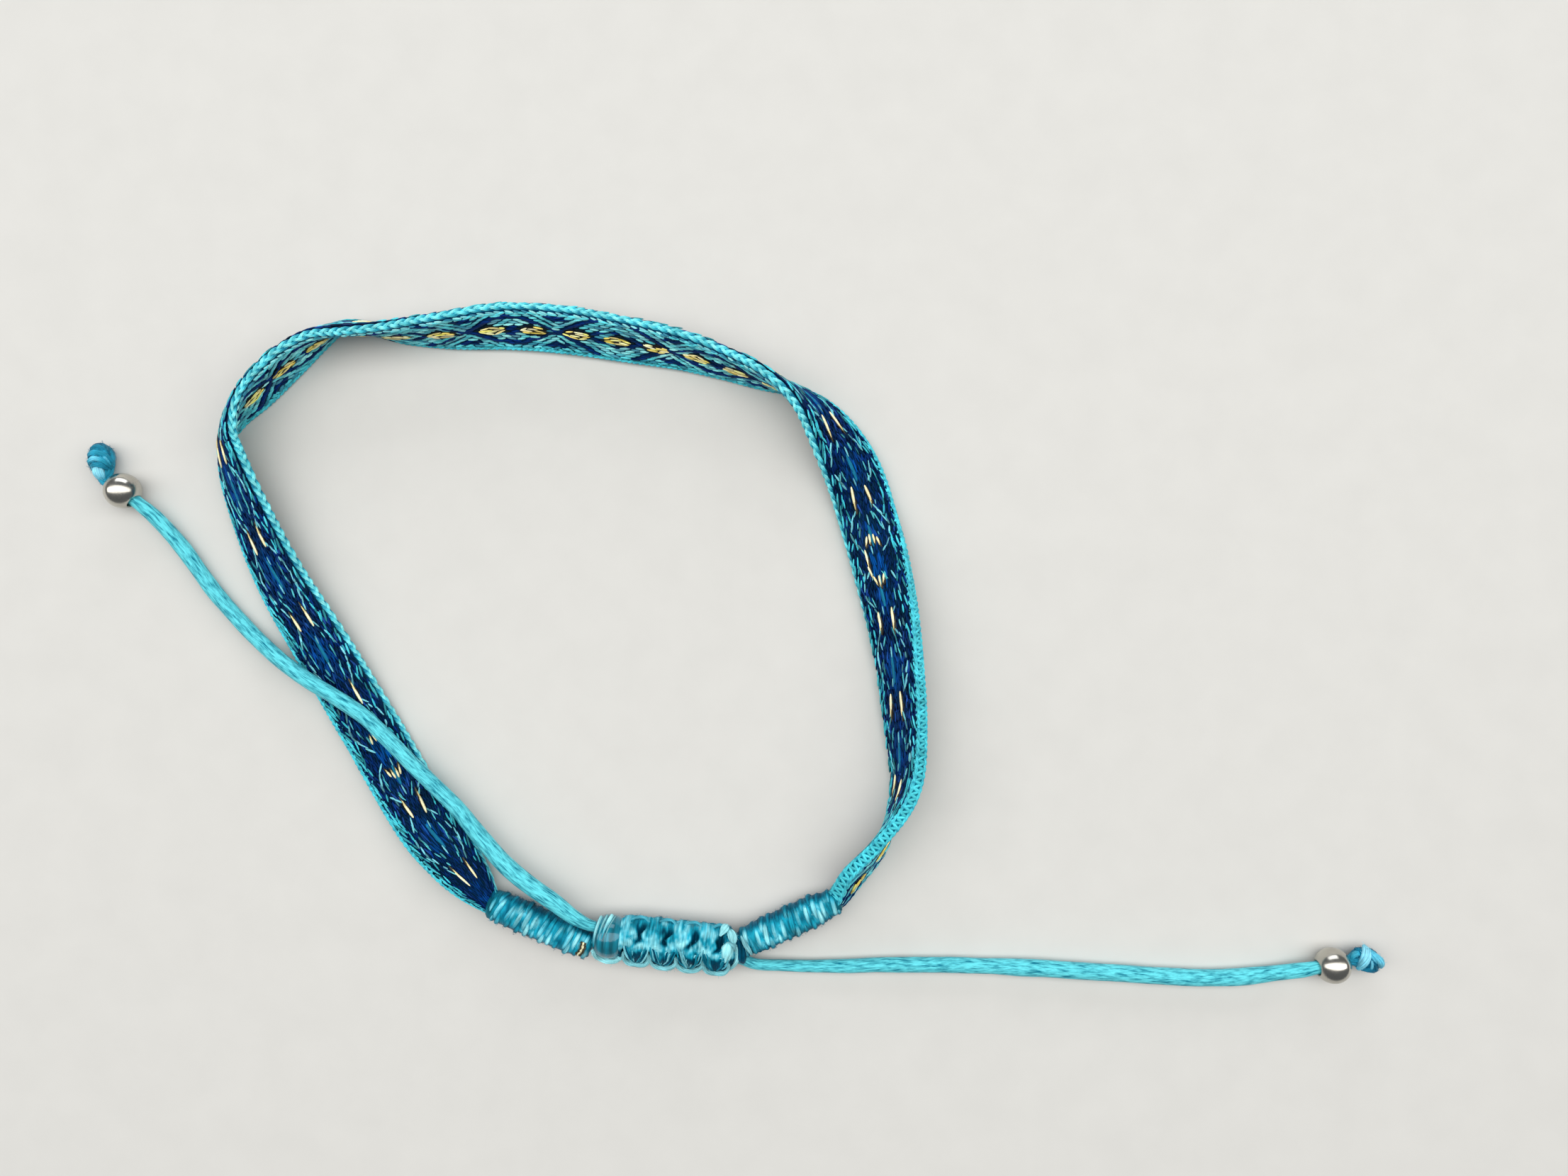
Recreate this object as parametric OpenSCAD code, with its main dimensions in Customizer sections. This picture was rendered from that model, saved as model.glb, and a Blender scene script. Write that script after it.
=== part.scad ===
// Hand-woven textile bracelet with a sliding square-knot closure, lying on a flat surface.
// Millimetres, +Z up. The origin is on the surface, under the middle of the closed loop.

/* [Woven band] */
// Width of the band over its two braided borders
band_w = 5.2; // [4.8:0.1:5.4]
// Thickness of the band at its borders
band_t = 1.1; // [0.9:0.05:1.2]
// Width of each braided border
border_w = 0.9; // [0.6:0.05:1.2]
// How far the woven face lies below the borders, on either side
face_sink = 0.08; // [0:0.01:0.15]
// Sections made between two stations of the loop
band_steps = 3; // [2:1:4]

/* [Whippings] */
// Length of each whipped end
whip_len = 8.6; // [8.2:0.1:8.8]
// Outer diameter over the turns of thread
whip_d = 2.9; // [2.8:0.1:3.1]
// Bore that holds the gathered band and the root of a cord
whip_bore_d = 2; // [1.9:0.05:2.1]
// Diameter of the flared mouth where the band gathers in
whip_mouth_d = 2.6; // [2.4:0.05:2.7]
// Depth of the flared mouth
whip_mouth_len = 2; // [1:0.25:3]
// Turns of thread along a whipping
whip_turns = 10; // [8:1:12]

/* [Sliding knot] */
// Length of the knot along the cords
knot_len = 12.6; // [12:0.1:12.8]
// Height of the knot above the surface
knot_h = 3.6; // [3.4:0.1:3.8]
// Lobes along the knot, one for each square knot
knot_lobes = 5; // [4:1:6]
// Diameter of each channel that a cord slides through
channel_d = 1.15; // [1.1:0.05:1.2]
// Distance between the two channels
channel_gap = 1.3; // [1.25:0.05:1.4]

/* [Cords] */
// Diameter of the satin cords
cord_d = 1.3; // [1.2:0.05:1.35]
// Diameter where a cord is squeezed by a whipping, the knot or a bead
cord_squeezed_d = 0.9; // [0.8:0.05:0.95]

/* [Beads and end knots] */
// Diameter of the ball beads
bead_d = 3; // [2.8:0.1:3.1]
// Drilling through a bead
bead_bore_d = 1.2; // [1.1:0.05:1.4]
// Diameter of the larger lobe of an end knot
end_lobe_d = 2.1; // [1.8:0.1:2.2]

/* [Hidden] */

$fn = 48;
up = [0, 0, 1];
cord_sides = 8;

// Places of the closure: the whippings run from their mouth towards the knot
left_mouth = [-6.5, -22.6];
left_yaw = -23.5;
right_mouth = [22.8, -22.4];
right_yaw = 204.5;
knot_mid = [8.3, -25.8];
knot_yaw = -6;
whip_z = whip_d / 2;
knot_z = knot_h / 2;

// Places of the beads and end knots
left_bead_at = [-38, 12.6];
left_bead_yaw = 135;
left_end_at = [-40, 15];
left_end_yaw = 115;
right_bead_at = [65.2, -27.9];
right_bead_yaw = 9;
right_end_at = [68.2, -27.5];
right_end_yaw = -20;

// Stations of the band, clockwise from inside the left whipping to inside the right one.
// roll 0 stands the scalloped border up, 90 lays it inward, 180 turns it down; lift is the gap
// under the section; width and thick are shares of the full width and thickness; cup is how far
// the middle of the section bows out of the dark face.
// [x, y, roll, lift, width, thick, cup]
band_stations = [
    [-2.9, -24.2, 105, 0.65, 0.24, 1.2, 0],
    [-4.7, -23.4, 105, 0.64, 0.26, 1.2, 0],
    [-6.5, -22.6, 105, 0.5, 0.37, 1.3, 0],
    [-8.1, -21.0, 104, 0.15, 0.68, 1.25, 0],
    [-10.0, -18.8, 100, 0, 0.9, 1.1, 0.1],
    [-12.6, -15.5, 95, 0, 1, 1, 0.1],
    [-16.7, -8.6, 90, 0, 1, 1, 0.1],
    [-20.9, -1.3, 80, 0, 1, 1, 0.1],
    [-24.7, 5.4, 66, 0, 1, 1, 0.1],
    [-27.3, 11.5, 52, 0, 1, 1, 0.2],
    [-28.5, 15.6, 40, 0, 1, 1, 0.4],
    [-28.1, 18.2, 20, 0, 1, 1, 0.8],
    [-26.5, 20.6, -2, 0, 1, 1, 0.5],
    [-23.8, 23.3, -6, 0, 1, 1, 0.2],
    [-21.2, 25.3, 5, 0, 1, 1, 0.1],
    [-19.1, 26.2, 19, 0, 1, 1, 0.1],
    [-16.8, 26.1, 12, 0, 1, 1, 0.1],
    [-14.2, 25.9, -1, 0, 1, 1, 0.1],
    [-10.0, 26.1, -17, 0, 1, 1, 0.1],
    [-5.0, 26.5, -30, 0, 1, 1, 0.1],
    [0.0, 26.2, -33, 0, 1, 1, 0.1],
    [5.0, 25.4, -30, 0, 1, 1, 0.1],
    [9.6, 24.5, -23, 0, 1, 1, 0.1],
    [13.2, 23.4, -15, 0, 1, 1, 0.1],
    [16.6, 22.1, -4, 0, 1, 1, 0.2],
    [19.5, 20.6, 18, 0, 1, 1, 0.3],
    [21.8, 18.4, 44, 0, 1, 1, 0.3],
    [24.1, 14.6, 74, 0, 1, 1, 0.2],
    [25.7, 10.0, 94, 0, 1, 1, 0.1],
    [27.0, 4.5, 117, 0, 1, 1, 0.1],
    [28.0, -1.5, 137, 0, 1, 1, 0.1],
    [28.6, -8.0, 149, 0, 1, 1, 0.1],
    [28.5, -12.8, 167, 0, 1, 1, 0.1],
    [26.5, -17.4, 196, 0, 1, 1, 0.1],
    [24.3, -20.2, 206, 0.15, 0.8, 1.1, 0],
    [22.8, -22.4, 206, 0.3, 0.36, 1.3, 0],
    [21.0, -23.22, 205, 0.56, 0.25, 1.2, 0],
    [19.2, -24.04, 205, 0.6, 0.24, 1.2, 0]
];

// A point of the knot from its own axes: along, across and up
function knot_at(along, across, rise) =
    [knot_mid.x + along * cos(knot_yaw) - across * sin(knot_yaw),
     knot_mid.y + along * sin(knot_yaw) + across * cos(knot_yaw),
     knot_z + rise];

// A point on the axis of a whipping, at a distance from its mouth
function whip_at(mouth, yaw, along) =
    [mouth.x + along * cos(yaw), mouth.y + along * sin(yaw), whip_z];

// Routes of the cords, each row a point and the share of the full diameter there
squeezed = cord_squeezed_d / cord_d;
root_in = 4.6;
channel_end = knot_len / 2 - 0.3;
// [point, share]
left_route = concat(
    [for (along = [root_in, 6.2, 7.8]) [whip_at(right_mouth, right_yaw, along), squeezed]],
    [for (along = [1, 0.5, 0, -0.5, -1])
        [knot_at(along * channel_end, channel_gap / 2, 0), squeezed]],
    [
        [[0.8, -23.65, 2.4], 0.9],
        [[-1.0, -22.3, 2.4], 1.1],
        [[-3.2, -20.8, 2.3], 1.15],
        [[-5.4, -19.0, 2.1], 1.15],
        [[-7.4, -16.8, 2.0], 1.1],
        [[-9.2, -14.6, 1.9], 1.05],
        [[-11.1, -12.7, 1.9], 1],
        [[-13.2, -10.7, 1.9], 1],
        [[-15.2, -8.6, 1.9], 1],
        [[-17.2, -6.7, 1.9], 1],
        [[-19.5, -5.1, 1.9], 1],
        [[-21.8, -3.7, 1.95], 1],
        [[-24.2, -2.1, 1.6], 1],
        [[-26.4, -0.4, 1.0], 1],
        [[-28.5, 1.6, 0.7], 1],
        [[-30.4, 3.8, 0.7], 1],
        [[-32.1, 6.1, 0.7], 1],
        [[-33.7, 8.3, 0.8], 1],
        [[-35.4, 10.3, 1.1], 0.95],
        [[-36.8, 11.6, 1.4], squeezed],
        [[-38.0, 12.6, 1.5], squeezed],
        [[-38.9, 13.6, 1.5], squeezed]
    ]);
right_route = concat(
    [for (along = [root_in, 6.2, 7.8]) [whip_at(left_mouth, left_yaw, along), squeezed]],
    [for (along = [-1, -0.5, 0, 0.5, 1])
        [knot_at(along * channel_end, -channel_gap / 2, 0), squeezed]],
    [
        [[16.0, -27.9, 1.1], 0.72],
        [[18.2, -28.1, 0.8], 0.75],
        [[20.8, -28.2, 0.7], 0.8],
        [[23.6, -28.2, 0.7], 0.9],
        [[26.6, -28.1, 0.7], 0.95],
        [[29.6, -28.1, 0.7], 1],
        [[32.6, -28.1, 0.7], 1],
        [[35.6, -28.2, 0.7], 1],
        [[38.8, -28.3, 0.75], 1.1],
        [[42.2, -28.5, 0.75], 1.1],
        [[45.4, -28.7, 0.75], 1.1],
        [[48.6, -28.9, 0.75], 1.1],
        [[51.8, -29.1, 0.75], 1.1],
        [[54.8, -29.2, 0.75], 1.1],
        [[57.8, -29.1, 0.75], 1.1],
        [[60.4, -28.8, 0.8], 1],
        [[62.6, -28.4, 1.2], 0.95],
        [[63.8, -28.1, 1.45], squeezed],
        [[65.2, -27.9, 1.5], squeezed],
        [[66.6, -27.7, 1.5], squeezed]
    ]);

// Smooth value between b and c, with a and d as the neighbours
function blend(a, b, c, d, t) =
    0.5 * (2 * b + (c - a) * t + (2 * a - 5 * b + 4 * c - d) * t * t
           + (3 * b - a - 3 * c + d) * t * t * t);

// A table made denser, with steps rows for each of its own
function densified(rows, steps) =
    let (last = len(rows) - 1)
    [for (i = [0:last - 1], s = [0:steps - 1])
        blend(rows[max(i - 1, 0)], rows[i], rows[i + 1], rows[min(i + 2, last)], s / steps),
     rows[last]];

function unit(v) = v / norm(v);

// Direction at row i of a list of points
function heading(points, i) =
    unit(points[min(i + 1, len(points) - 1)] - points[max(i - 1, 0)]);

// Half a section of the band, from one border to the other: [across, out of the face]
function half_section(width, thick) =
    let (a = band_w * width / 2, b = band_t * thick / 2, edge = border_w * width)
    [[a, 0.4 * b], [a - 0.25 * edge, b], [a - edge, b - face_sink], [0, b - face_sink],
     [edge - a, b - face_sink], [0.25 * edge - a, b], [-a, 0.4 * b]];

// A whole section, the second half turned over from the first, bowed by cup
function band_section(width, thick, cup) =
    let (half = half_section(width, thick), a = band_w * width / 2)
    [for (p = concat(half, -half)) [p.x, p.y + cup * (0.5 - pow(p.x / a, 2))]];

// One section set in the loop: the lowest point of it lies lift above the surface
function placed_section(row, along) =
    let (section = band_section(row[4], row[5], row[6]),
         inward = [along.y, -along.x, 0],
         across = cos(row[2]) * up + sin(row[2]) * inward,
         out = sin(row[2]) * up - cos(row[2]) * inward,
         local = [for (p = section) p.x * across + p.y * out],
         low = min([for (p = local) p.z]))
    [for (p = local) [row[0], row[1], max(row[3], 0) - low] + p];

// Faces of a closed tube whose rings have sides points each
function ring_faces(rings, sides) = concat(
    [[for (k = [sides - 1:-1:0]) k]],
    [for (i = [0:rings - 2], k = [0:sides - 1], half = [0, 1])
        let (a = i * sides + k, b = i * sides + (k + 1) % sides)
        half == 0 ? [a, b, a + sides] : [b, b + sides, a + sides]],
    [[for (k = [0:sides - 1]) (rings - 1) * sides + k]]);

module woven_band() {
    rows = densified(band_stations, band_steps);
    plan = [for (row = rows) [row[0], row[1]]];
    rings = [for (i = [0:len(rows) - 1]) placed_section(rows[i], heading(plan, i))];
    color("midnightblue")
        polyhedron([for (ring = rings) each ring], ring_faces(len(rings), len(rings[0])));
}

// A cord swept along its route, with a ring at each point of it
module cord(route) {
    points = [for (row = route) row[0]];
    rings = [for (i = [0:len(route) - 1])
        let (along = heading(points, i),
             side = unit(cross(along, up)),
             rise = cross(side, along),
             r = cord_d * route[i][1] / 2)
        [for (k = [0:cord_sides - 1])
            points[i] + r * (cos(360 * k / cord_sides) * side + sin(360 * k / cord_sides) * rise)]];
    polyhedron([for (ring = rings) each ring], ring_faces(len(rings), cord_sides));
}

module left_cord() { color("turquoise") cord(left_route); }

module right_cord() { color("turquoise") cord(right_route); }

// A wound sleeve along +X from its mouth: turns of thread round a flared bore
module whipping() {
    pitch = whip_len / whip_turns;
    turn_r = 0.6 * pitch;
    wall_r = whip_d / 2 - 0.6 * turn_r;
    rotate([0, 90, 0]) rotate_extrude() difference() {
        union() {
            translate([0, pitch / 4]) square([wall_r, whip_len - pitch / 2]);
            for (i = [0:whip_turns - 1])
                translate([whip_d / 2 - turn_r, (i + 0.5) * pitch]) circle(turn_r);
        }
        polygon([[0, -1], [whip_mouth_d / 2, -1], [whip_mouth_d / 2, 0],
                 [whip_bore_d / 2, whip_mouth_len], [whip_bore_d / 2, whip_len + 1],
                 [0, whip_len + 1]]);
        translate([-whip_d, -1]) square([whip_d, whip_len + 2]);
    }
}

module left_whipping() {
    color("steelblue") translate([left_mouth.x, left_mouth.y, whip_z])
        rotate([0, 0, left_yaw]) whipping();
}

module right_whipping() {
    color("steelblue") translate([right_mouth.x, right_mouth.y, whip_z])
        rotate([0, 0, right_yaw]) whipping();
}

// The round body of the knot, along +X and about its middle: one lobe for each square knot
module knot_body(pitch) {
    core_r = 0.41 * knot_h;
    rotate([0, 90, 0]) rotate_extrude() intersection() {
        union() {
            translate([0, 0.4 - knot_len / 2]) square([core_r, knot_len - 0.8]);
            for (i = [0:knot_lobes - 1])
                translate([0, (i - (knot_lobes - 1) / 2) * pitch]) circle(knot_h / 2);
        }
        translate([0, -knot_len]) square([knot_h, 2 * knot_len]);
    }
}

// The sides of one square knot: its outer loop, low on one side, and a bump on the other
module knot_sides() {
    translate([0, -1.25, -0.6]) rotate_extrude() translate([0.65, 0]) circle(0.42);
    translate([0, 1.2, 0.35]) sphere(0.95);
}

module sliding_knot() {
    pitch = (knot_len - knot_h) / (knot_lobes - 1);
    color("cadetblue") translate([knot_mid.x, knot_mid.y, knot_z]) rotate([0, 0, knot_yaw])
        difference() {
            union() {
                knot_body(pitch);
                for (i = [0:knot_lobes - 1])
                    translate([(i - (knot_lobes - 1) / 2) * pitch, 0, 0]) knot_sides();
            }
            for (side = [-1, 1])
                translate([0, side * channel_gap / 2, 0]) rotate([0, 90, 0])
                    cylinder(d = channel_d, h = knot_len + 2, center = true);
        }
}

// A drilled ball, its bore along the cord
module bead(at, yaw) {
    color("silver") translate([at.x, at.y, bead_d / 2]) rotate([0, 0, yaw])
        rotate([0, 90, 0]) rotate_extrude() difference() {
            circle(bead_d / 2);
            translate([-bead_d, -bead_d]) square([bead_d + bead_bore_d / 2, 2 * bead_d]);
        }
}

module left_bead() { bead(left_bead_at, left_bead_yaw); }

module right_bead() { bead(right_bead_at, right_bead_yaw); }

// A knotted end on the surface: round lobes along its axis, the table's rows
module end_knot(at, yaw, lobes) {
    largest = max([for (lobe = lobes) lobe[1]]);
    color("turquoise") translate([at.x, at.y, largest]) rotate([0, 0, yaw])
        rotate([0, 90, 0]) rotate_extrude() intersection() {
            union() for (lobe = lobes) translate([0, lobe[0]]) circle(lobe[1]);
            translate([0, -5]) square([5, 10]);
        }
}

module left_end_knot() {
    large = end_lobe_d / 2;
    // [along, radius]
    end_knot(left_end_at, left_end_yaw, [[-0.6, large - 0.1], [0.65, large]]);
}

module right_end_knot() {
    large = end_lobe_d / 2;
    // [along, radius]
    end_knot(right_end_at, right_end_yaw,
             [[-0.65, large - 0.3], [0.1, large + 0.05], [0.85, large - 0.4]]);
}

woven_band();
left_whipping();
right_whipping();
sliding_knot();
left_cord();
right_cord();
left_bead();
right_bead();
left_end_knot();
right_end_knot();
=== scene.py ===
"""Looks of the textile bracelet: woven band, whippings, sliding knot, satin cords and beads.

Lengths are in millimetres up to the point where a mesh is made, and in metres from there on.
The band is laid out flat, as (s along the loop, v across, w out of the dark face), and then
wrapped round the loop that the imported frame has.
"""

import logging
import math
import random
from dataclasses import dataclass, field
from enum import Enum
from typing import Any, Callable, Dict, Iterator, List, Optional, Sequence, Tuple

import bmesh
import bpy
import numpy as np
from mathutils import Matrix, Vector, noise


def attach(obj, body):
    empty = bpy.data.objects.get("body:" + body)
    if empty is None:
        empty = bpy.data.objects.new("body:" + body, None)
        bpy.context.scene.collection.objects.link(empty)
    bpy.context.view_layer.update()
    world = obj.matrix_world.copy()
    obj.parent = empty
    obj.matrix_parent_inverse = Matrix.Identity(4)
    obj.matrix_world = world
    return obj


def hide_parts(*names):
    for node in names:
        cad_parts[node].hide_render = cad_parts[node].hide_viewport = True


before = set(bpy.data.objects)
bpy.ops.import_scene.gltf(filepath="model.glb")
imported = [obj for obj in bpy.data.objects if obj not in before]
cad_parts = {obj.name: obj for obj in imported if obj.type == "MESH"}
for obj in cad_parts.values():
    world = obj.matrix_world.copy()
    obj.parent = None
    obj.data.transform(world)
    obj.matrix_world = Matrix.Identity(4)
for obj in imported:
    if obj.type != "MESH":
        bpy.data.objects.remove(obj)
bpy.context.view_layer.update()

log = logging.getLogger("bracelet")

MM = 0.001
BODY = "root"
TAU = 2 * math.pi

Point = Tuple[float, float, float]
Dye = Tuple[float, float, float, float]
Rows = Sequence[Sequence[float]]
Item = bpy.types.Object
Tree = bpy.types.NodeTree
Stage = Tuple[Tree, Dict[str, Any]]


def dye(*shares: float) -> Dye:
    """A colour as a screen shows it, three shares of 0 to 255, turned into linear light."""
    return tuple(s / 255 / 12.92 if s / 255 <= 0.04045 else ((s / 255 + 0.055) / 1.055) ** 2.4
                 for s in shares) + (1.0,)


def shade(colour: Dye, light: float) -> Dye:
    """A colour made lighter or darker by a factor."""
    return tuple(min(c * light, 1.0) for c in colour[:3]) + (1.0,)


def blended(first: Dye, second: Dye, share: float) -> Dye:
    """The colour that lies share of the way from the first to the second."""
    share = min(max(share, 0.0), 1.0)
    return tuple(a + (b - a) * share for a, b in zip(first, second))


def climbed(dyes: Sequence[Dye], knee: float, share: float, first: float, last: float) -> Dye:
    """A dye from a ramp of three.

    Args:
        dyes: the low, the middle and the high dye.
        knee: the share at which the middle one is reached.
        share: the place on the ramp.
        first: what the share counts for below the knee.
        last: what the rest of it counts for above.

    Returns:
        The dye.
    """
    if share < knee:
        return blended(dyes[0], dyes[1], share * first)
    return blended(dyes[1], dyes[2], (share - knee) * last)


CYAN, CYAN_BRIGHT, CYAN_LIT = dye(68, 198, 214), dye(82, 210, 224), dye(166, 250, 249)
RIM, UNDERSIDE = dye(2, 104, 134), dye(8, 44, 84)
GREY_TEAL, TEAL_LIT = dye(88, 194, 202), dye(162, 238, 236)
TEAL_DEEP, TEAL_NIGHT = dye(26, 116, 152), dye(6, 72, 118)
PALE = dye(126, 214, 228)
NAVY, NAVY_DEEP = dye(4, 30, 98), dye(2, 7, 48)
ROYAL, DUSK = dye(2, 78, 156), dye(30, 62, 132)
GOLD, GOLD_YELLOW, GOLD_LIT = dye(238, 220, 156), dye(252, 226, 96), dye(255, 250, 206)
# the near-black dye laid under and round the gold stitches is painted shadow
GOLD_BROWN, GOLD_SHADOW = dye(70, 66, 48), dye(12, 10, 14)
# on the whippings and the knot, CERULEAN_DARK and CERULEAN_LIT serve as painted shade and painted
# highlight
CERULEAN, CERULEAN_LIT, CERULEAN_DARK = dye(24, 148, 174), dye(156, 230, 238), dye(0, 66, 94)
# CORD_DEEP to CORD_PALE: the end knots' ramp from painted shade to painted highlight
CORD_PALE, CORD_BLUE, CORD_DEEP = dye(146, 222, 244), dye(56, 176, 208), dye(0, 72, 108)


# node trees

def operator(operation: str, swapped: bool = False) -> Callable[..., "Wire"]:
    """Makes a method of Wire that adds one Math node.

    Args:
        operation: name of the Math node's operation.
        swapped: whether the wire itself is the last term.

    Returns:
        The method.
    """
    def method(self: "Wire", *others: Any) -> "Wire":
        """The result as a wire."""
        terms = (*others, self) if swapped else (self, *others)
        return self.graph.wire("ShaderNodeMath", dict(enumerate(terms)), operation=operation)
    return method


@dataclass
class Wire:
    """A socket's output that takes part in sums, so that node maths reads as an expression."""

    graph: "Graph"
    socket: bpy.types.NodeSocket

    __add__ = __radd__ = operator("ADD")
    __sub__, __rsub__ = operator("SUBTRACT"), operator("SUBTRACT", swapped=True)
    __mul__ = __rmul__ = operator("MULTIPLY")
    __truediv__ = operator("DIVIDE")
    sine, cosine = operator("SINE"), operator("COSINE")
    magnitude, exponent = operator("ABSOLUTE"), operator("EXPONENT")
    lesser, greater = operator("MINIMUM"), operator("MAXIMUM")


class Graph:
    """A node tree under construction."""

    def __init__(self, tree: Tree) -> None:
        """Keeps the tree that nodes are added to."""
        self.tree = tree

    def node(self, kind: str, sockets: Optional[Dict[Any, Any]] = None,
             **settings: Any) -> bpy.types.Node:
        """Adds one node.

        Args:
            kind: the node's type.
            sockets: values or wires of its inputs, by name or place.
            settings: its properties, which are set first.

        Returns:
            The node.
        """
        made = self.tree.nodes.new(kind)
        for name, value in settings.items():
            setattr(made, name, value)
        for key, value in (sockets or {}).items():
            if isinstance(value, Wire):
                self.tree.links.new(value.socket, made.inputs[key])
            else:
                made.inputs[key].default_value = value
        return made

    def wire(self, kind: str, sockets: Optional[Dict[Any, Any]] = None, output: Any = 0,
             **settings: Any) -> Wire:
        """Adds one node as node() does and returns one of its outputs."""
        return Wire(self, self.node(kind, sockets, **settings).outputs[output])

    def vector(self, operation: str, *terms: Any, **named: Any) -> Wire:
        """Adds one Vector Math node, with its sockets in order or by name."""
        return self.wire("ShaderNodeVectorMath", {**dict(enumerate(terms)), **named},
                         operation=operation)

    def scaled(self, vector: Any, factor: Any) -> Wire:
        """A vector times a value."""
        return self.vector("SCALE", vector, Scale=factor)

    def combine(self, x: Any = 0.0, y: Any = 0.0, z: Any = 0.0) -> Wire:
        """Three values as one vector."""
        return self.wire("ShaderNodeCombineXYZ", {0: x, 1: y, 2: z})

    def parts(self, value: Wire) -> Tuple[Wire, Wire, Wire]:
        """The three values of a vector."""
        return tuple(Wire(self, socket) for socket in
                     self.node("ShaderNodeSeparateXYZ", {0: value}).outputs)

    def mix(self, factor: Any, first: Any, second: Any) -> Wire:
        """A colour between two, by the share of the second."""
        return self.wire("ShaderNodeMix", {0: factor, 6: first, 7: second}, 2, data_type="RGBA")

    def ranged(self, value: Wire, low: float, high: float, start: float = 0.0,
               end: float = 1.0) -> Wire:
        """Maps a value from low..high to start..end, held at both ends."""
        return self.wire("ShaderNodeMapRange", {0: value, 1: low, 2: high, 3: start, 4: end},
                         clamp=True)

    def noise(self, vector: Any, scale: float, detail: float = 2.0) -> Wire:
        """Noise on a vector, about a half."""
        return self.wire("ShaderNodeTexNoise", {"Vector": vector, "Scale": scale,
                                                "Detail": detail})

    def bump(self, strength: float, distance: float, height: Wire) -> Wire:
        """The normal of a fine relief."""
        return self.wire("ShaderNodeBump", {"Strength": strength, "Distance": distance,
                                            "Height": height})


class GeometryTree(Graph):
    """A Geometry Nodes tree with named inputs, a material among them, and one output."""

    def __init__(self, name: str, inputs: Dict[str, Any]) -> None:
        """Makes the tree.

        Args:
            name: name of the tree.
            inputs: name and default of each input; None stands for an object.
        """
        super().__init__(bpy.data.node_groups.new(name, "GeometryNodeTree"))
        kinds = {int: "Int", float: "Float", type(None): "Object"}
        for title, kind, way in (("Geometry", "Geometry", "OUTPUT"),
                                 ("Geometry", "Geometry", "INPUT"),
                                 *((t, kinds[type(v)], "INPUT") for t, v in inputs.items()),
                                 ("Material", "Material", "INPUT")):
            socket = self.tree.interface.new_socket(title, in_out=way,
                                                    socket_type=f"NodeSocket{kind}")
            if inputs.get(title) is not None:
                socket.default_value = inputs[title]
        self.entry = self.node("NodeGroupInput")

    def __getitem__(self, name: str) -> Wire:
        """One of the tree's inputs."""
        return Wire(self, self.entry.outputs[name])

    def stored(self, name: str, kind: str = "FLOAT_VECTOR") -> Wire:
        """A named attribute of the geometry."""
        return self.wire("GeometryNodeInputNamedAttribute", {"Name": name}, data_type=kind)

    def store(self, geometry: Wire, name: str, value: Wire, kind: str = "FLOAT_VECTOR") -> Wire:
        """The geometry with a value stored on its points."""
        return self.wire("GeometryNodeStoreNamedAttribute",
                         {"Geometry": geometry, "Name": name, "Value": value},
                         data_type=kind, domain="POINT")

    def moved(self, geometry: Wire, **place: Wire) -> Wire:
        """The geometry with its points at a Position or moved by an Offset."""
        return self.wire("GeometryNodeSetPosition", {"Geometry": geometry, **place})

    def ring(self, sides: Any, radius: Any) -> Wire:
        """A circle as a curve."""
        return self.wire("GeometryNodeCurvePrimitiveCircle",
                         {"Resolution": sides, "Radius": radius}, mode="RADIUS")

    def turning(self, angles: Wire) -> Wire:
        """A rotation from three angles."""
        return self.wire("FunctionNodeEulerToRotation", {0: angles})

    def chance(self, low: float, high: float, seed: Any) -> Wire:
        """A random value for each element."""
        return self.wire("FunctionNodeRandomValue", {2: low, 3: high, "Seed": seed}, 1,
                         data_type="FLOAT")

    def finish(self, geometry: Wire) -> Tree:
        """Ends the tree: instances made real, smooth faces, and the material set.

        Args:
            geometry: what the tree has made.

        Returns:
            The finished tree.
        """
        real = self.wire("GeometryNodeRealizeInstances", {0: geometry})
        smooth = self.wire("GeometryNodeSetShadeSmooth", {"Geometry": real})
        dressed = self.wire("GeometryNodeSetMaterial",
                            {"Geometry": smooth, "Material": self["Material"]})
        self.node("NodeGroupOutput", {0: dressed})
        return self.tree


def thread_tree() -> Tree:
    """Lays one tapered float of thread on every point, turned and sized by its attributes.

    Returns:
        The tree; its inputs are Segments, Rings, Taper, Bow and Material.
    """
    tree = GeometryTree("lay_threads", {"Segments": 6, "Rings": 4, "Taper": 0.0, "Bow": 0.0})
    ball = tree.wire("GeometryNodeMeshUVSphere", {0: tree["Segments"], 1: tree["Rings"], 2: 0.5})
    turned = tree.wire("GeometryNodeTransform",
                       {"Geometry": ball, "Rotation": (0.0, math.pi / 2, 0.0)})
    grained = tree.store(turned, "grain", tree.wire("GeometryNodeInputPosition"))
    along, across, high = tree.parts(tree.stored("grain"))
    thin = 1.0 - tree["Taper"] * (along + 0.5)
    bowed = across * thin + tree["Bow"] * (0.25 - along * along)
    shaped = tree.moved(grained, Position=tree.combine(along, bowed, high * thin))
    return tree.finish(tree.wire("GeometryNodeInstanceOnPoints", {
        "Points": tree["Geometry"], "Instance": shaped, "Scale": tree.stored("size"),
        "Rotation": tree.turning(tree.stored("aim"))}))


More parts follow.
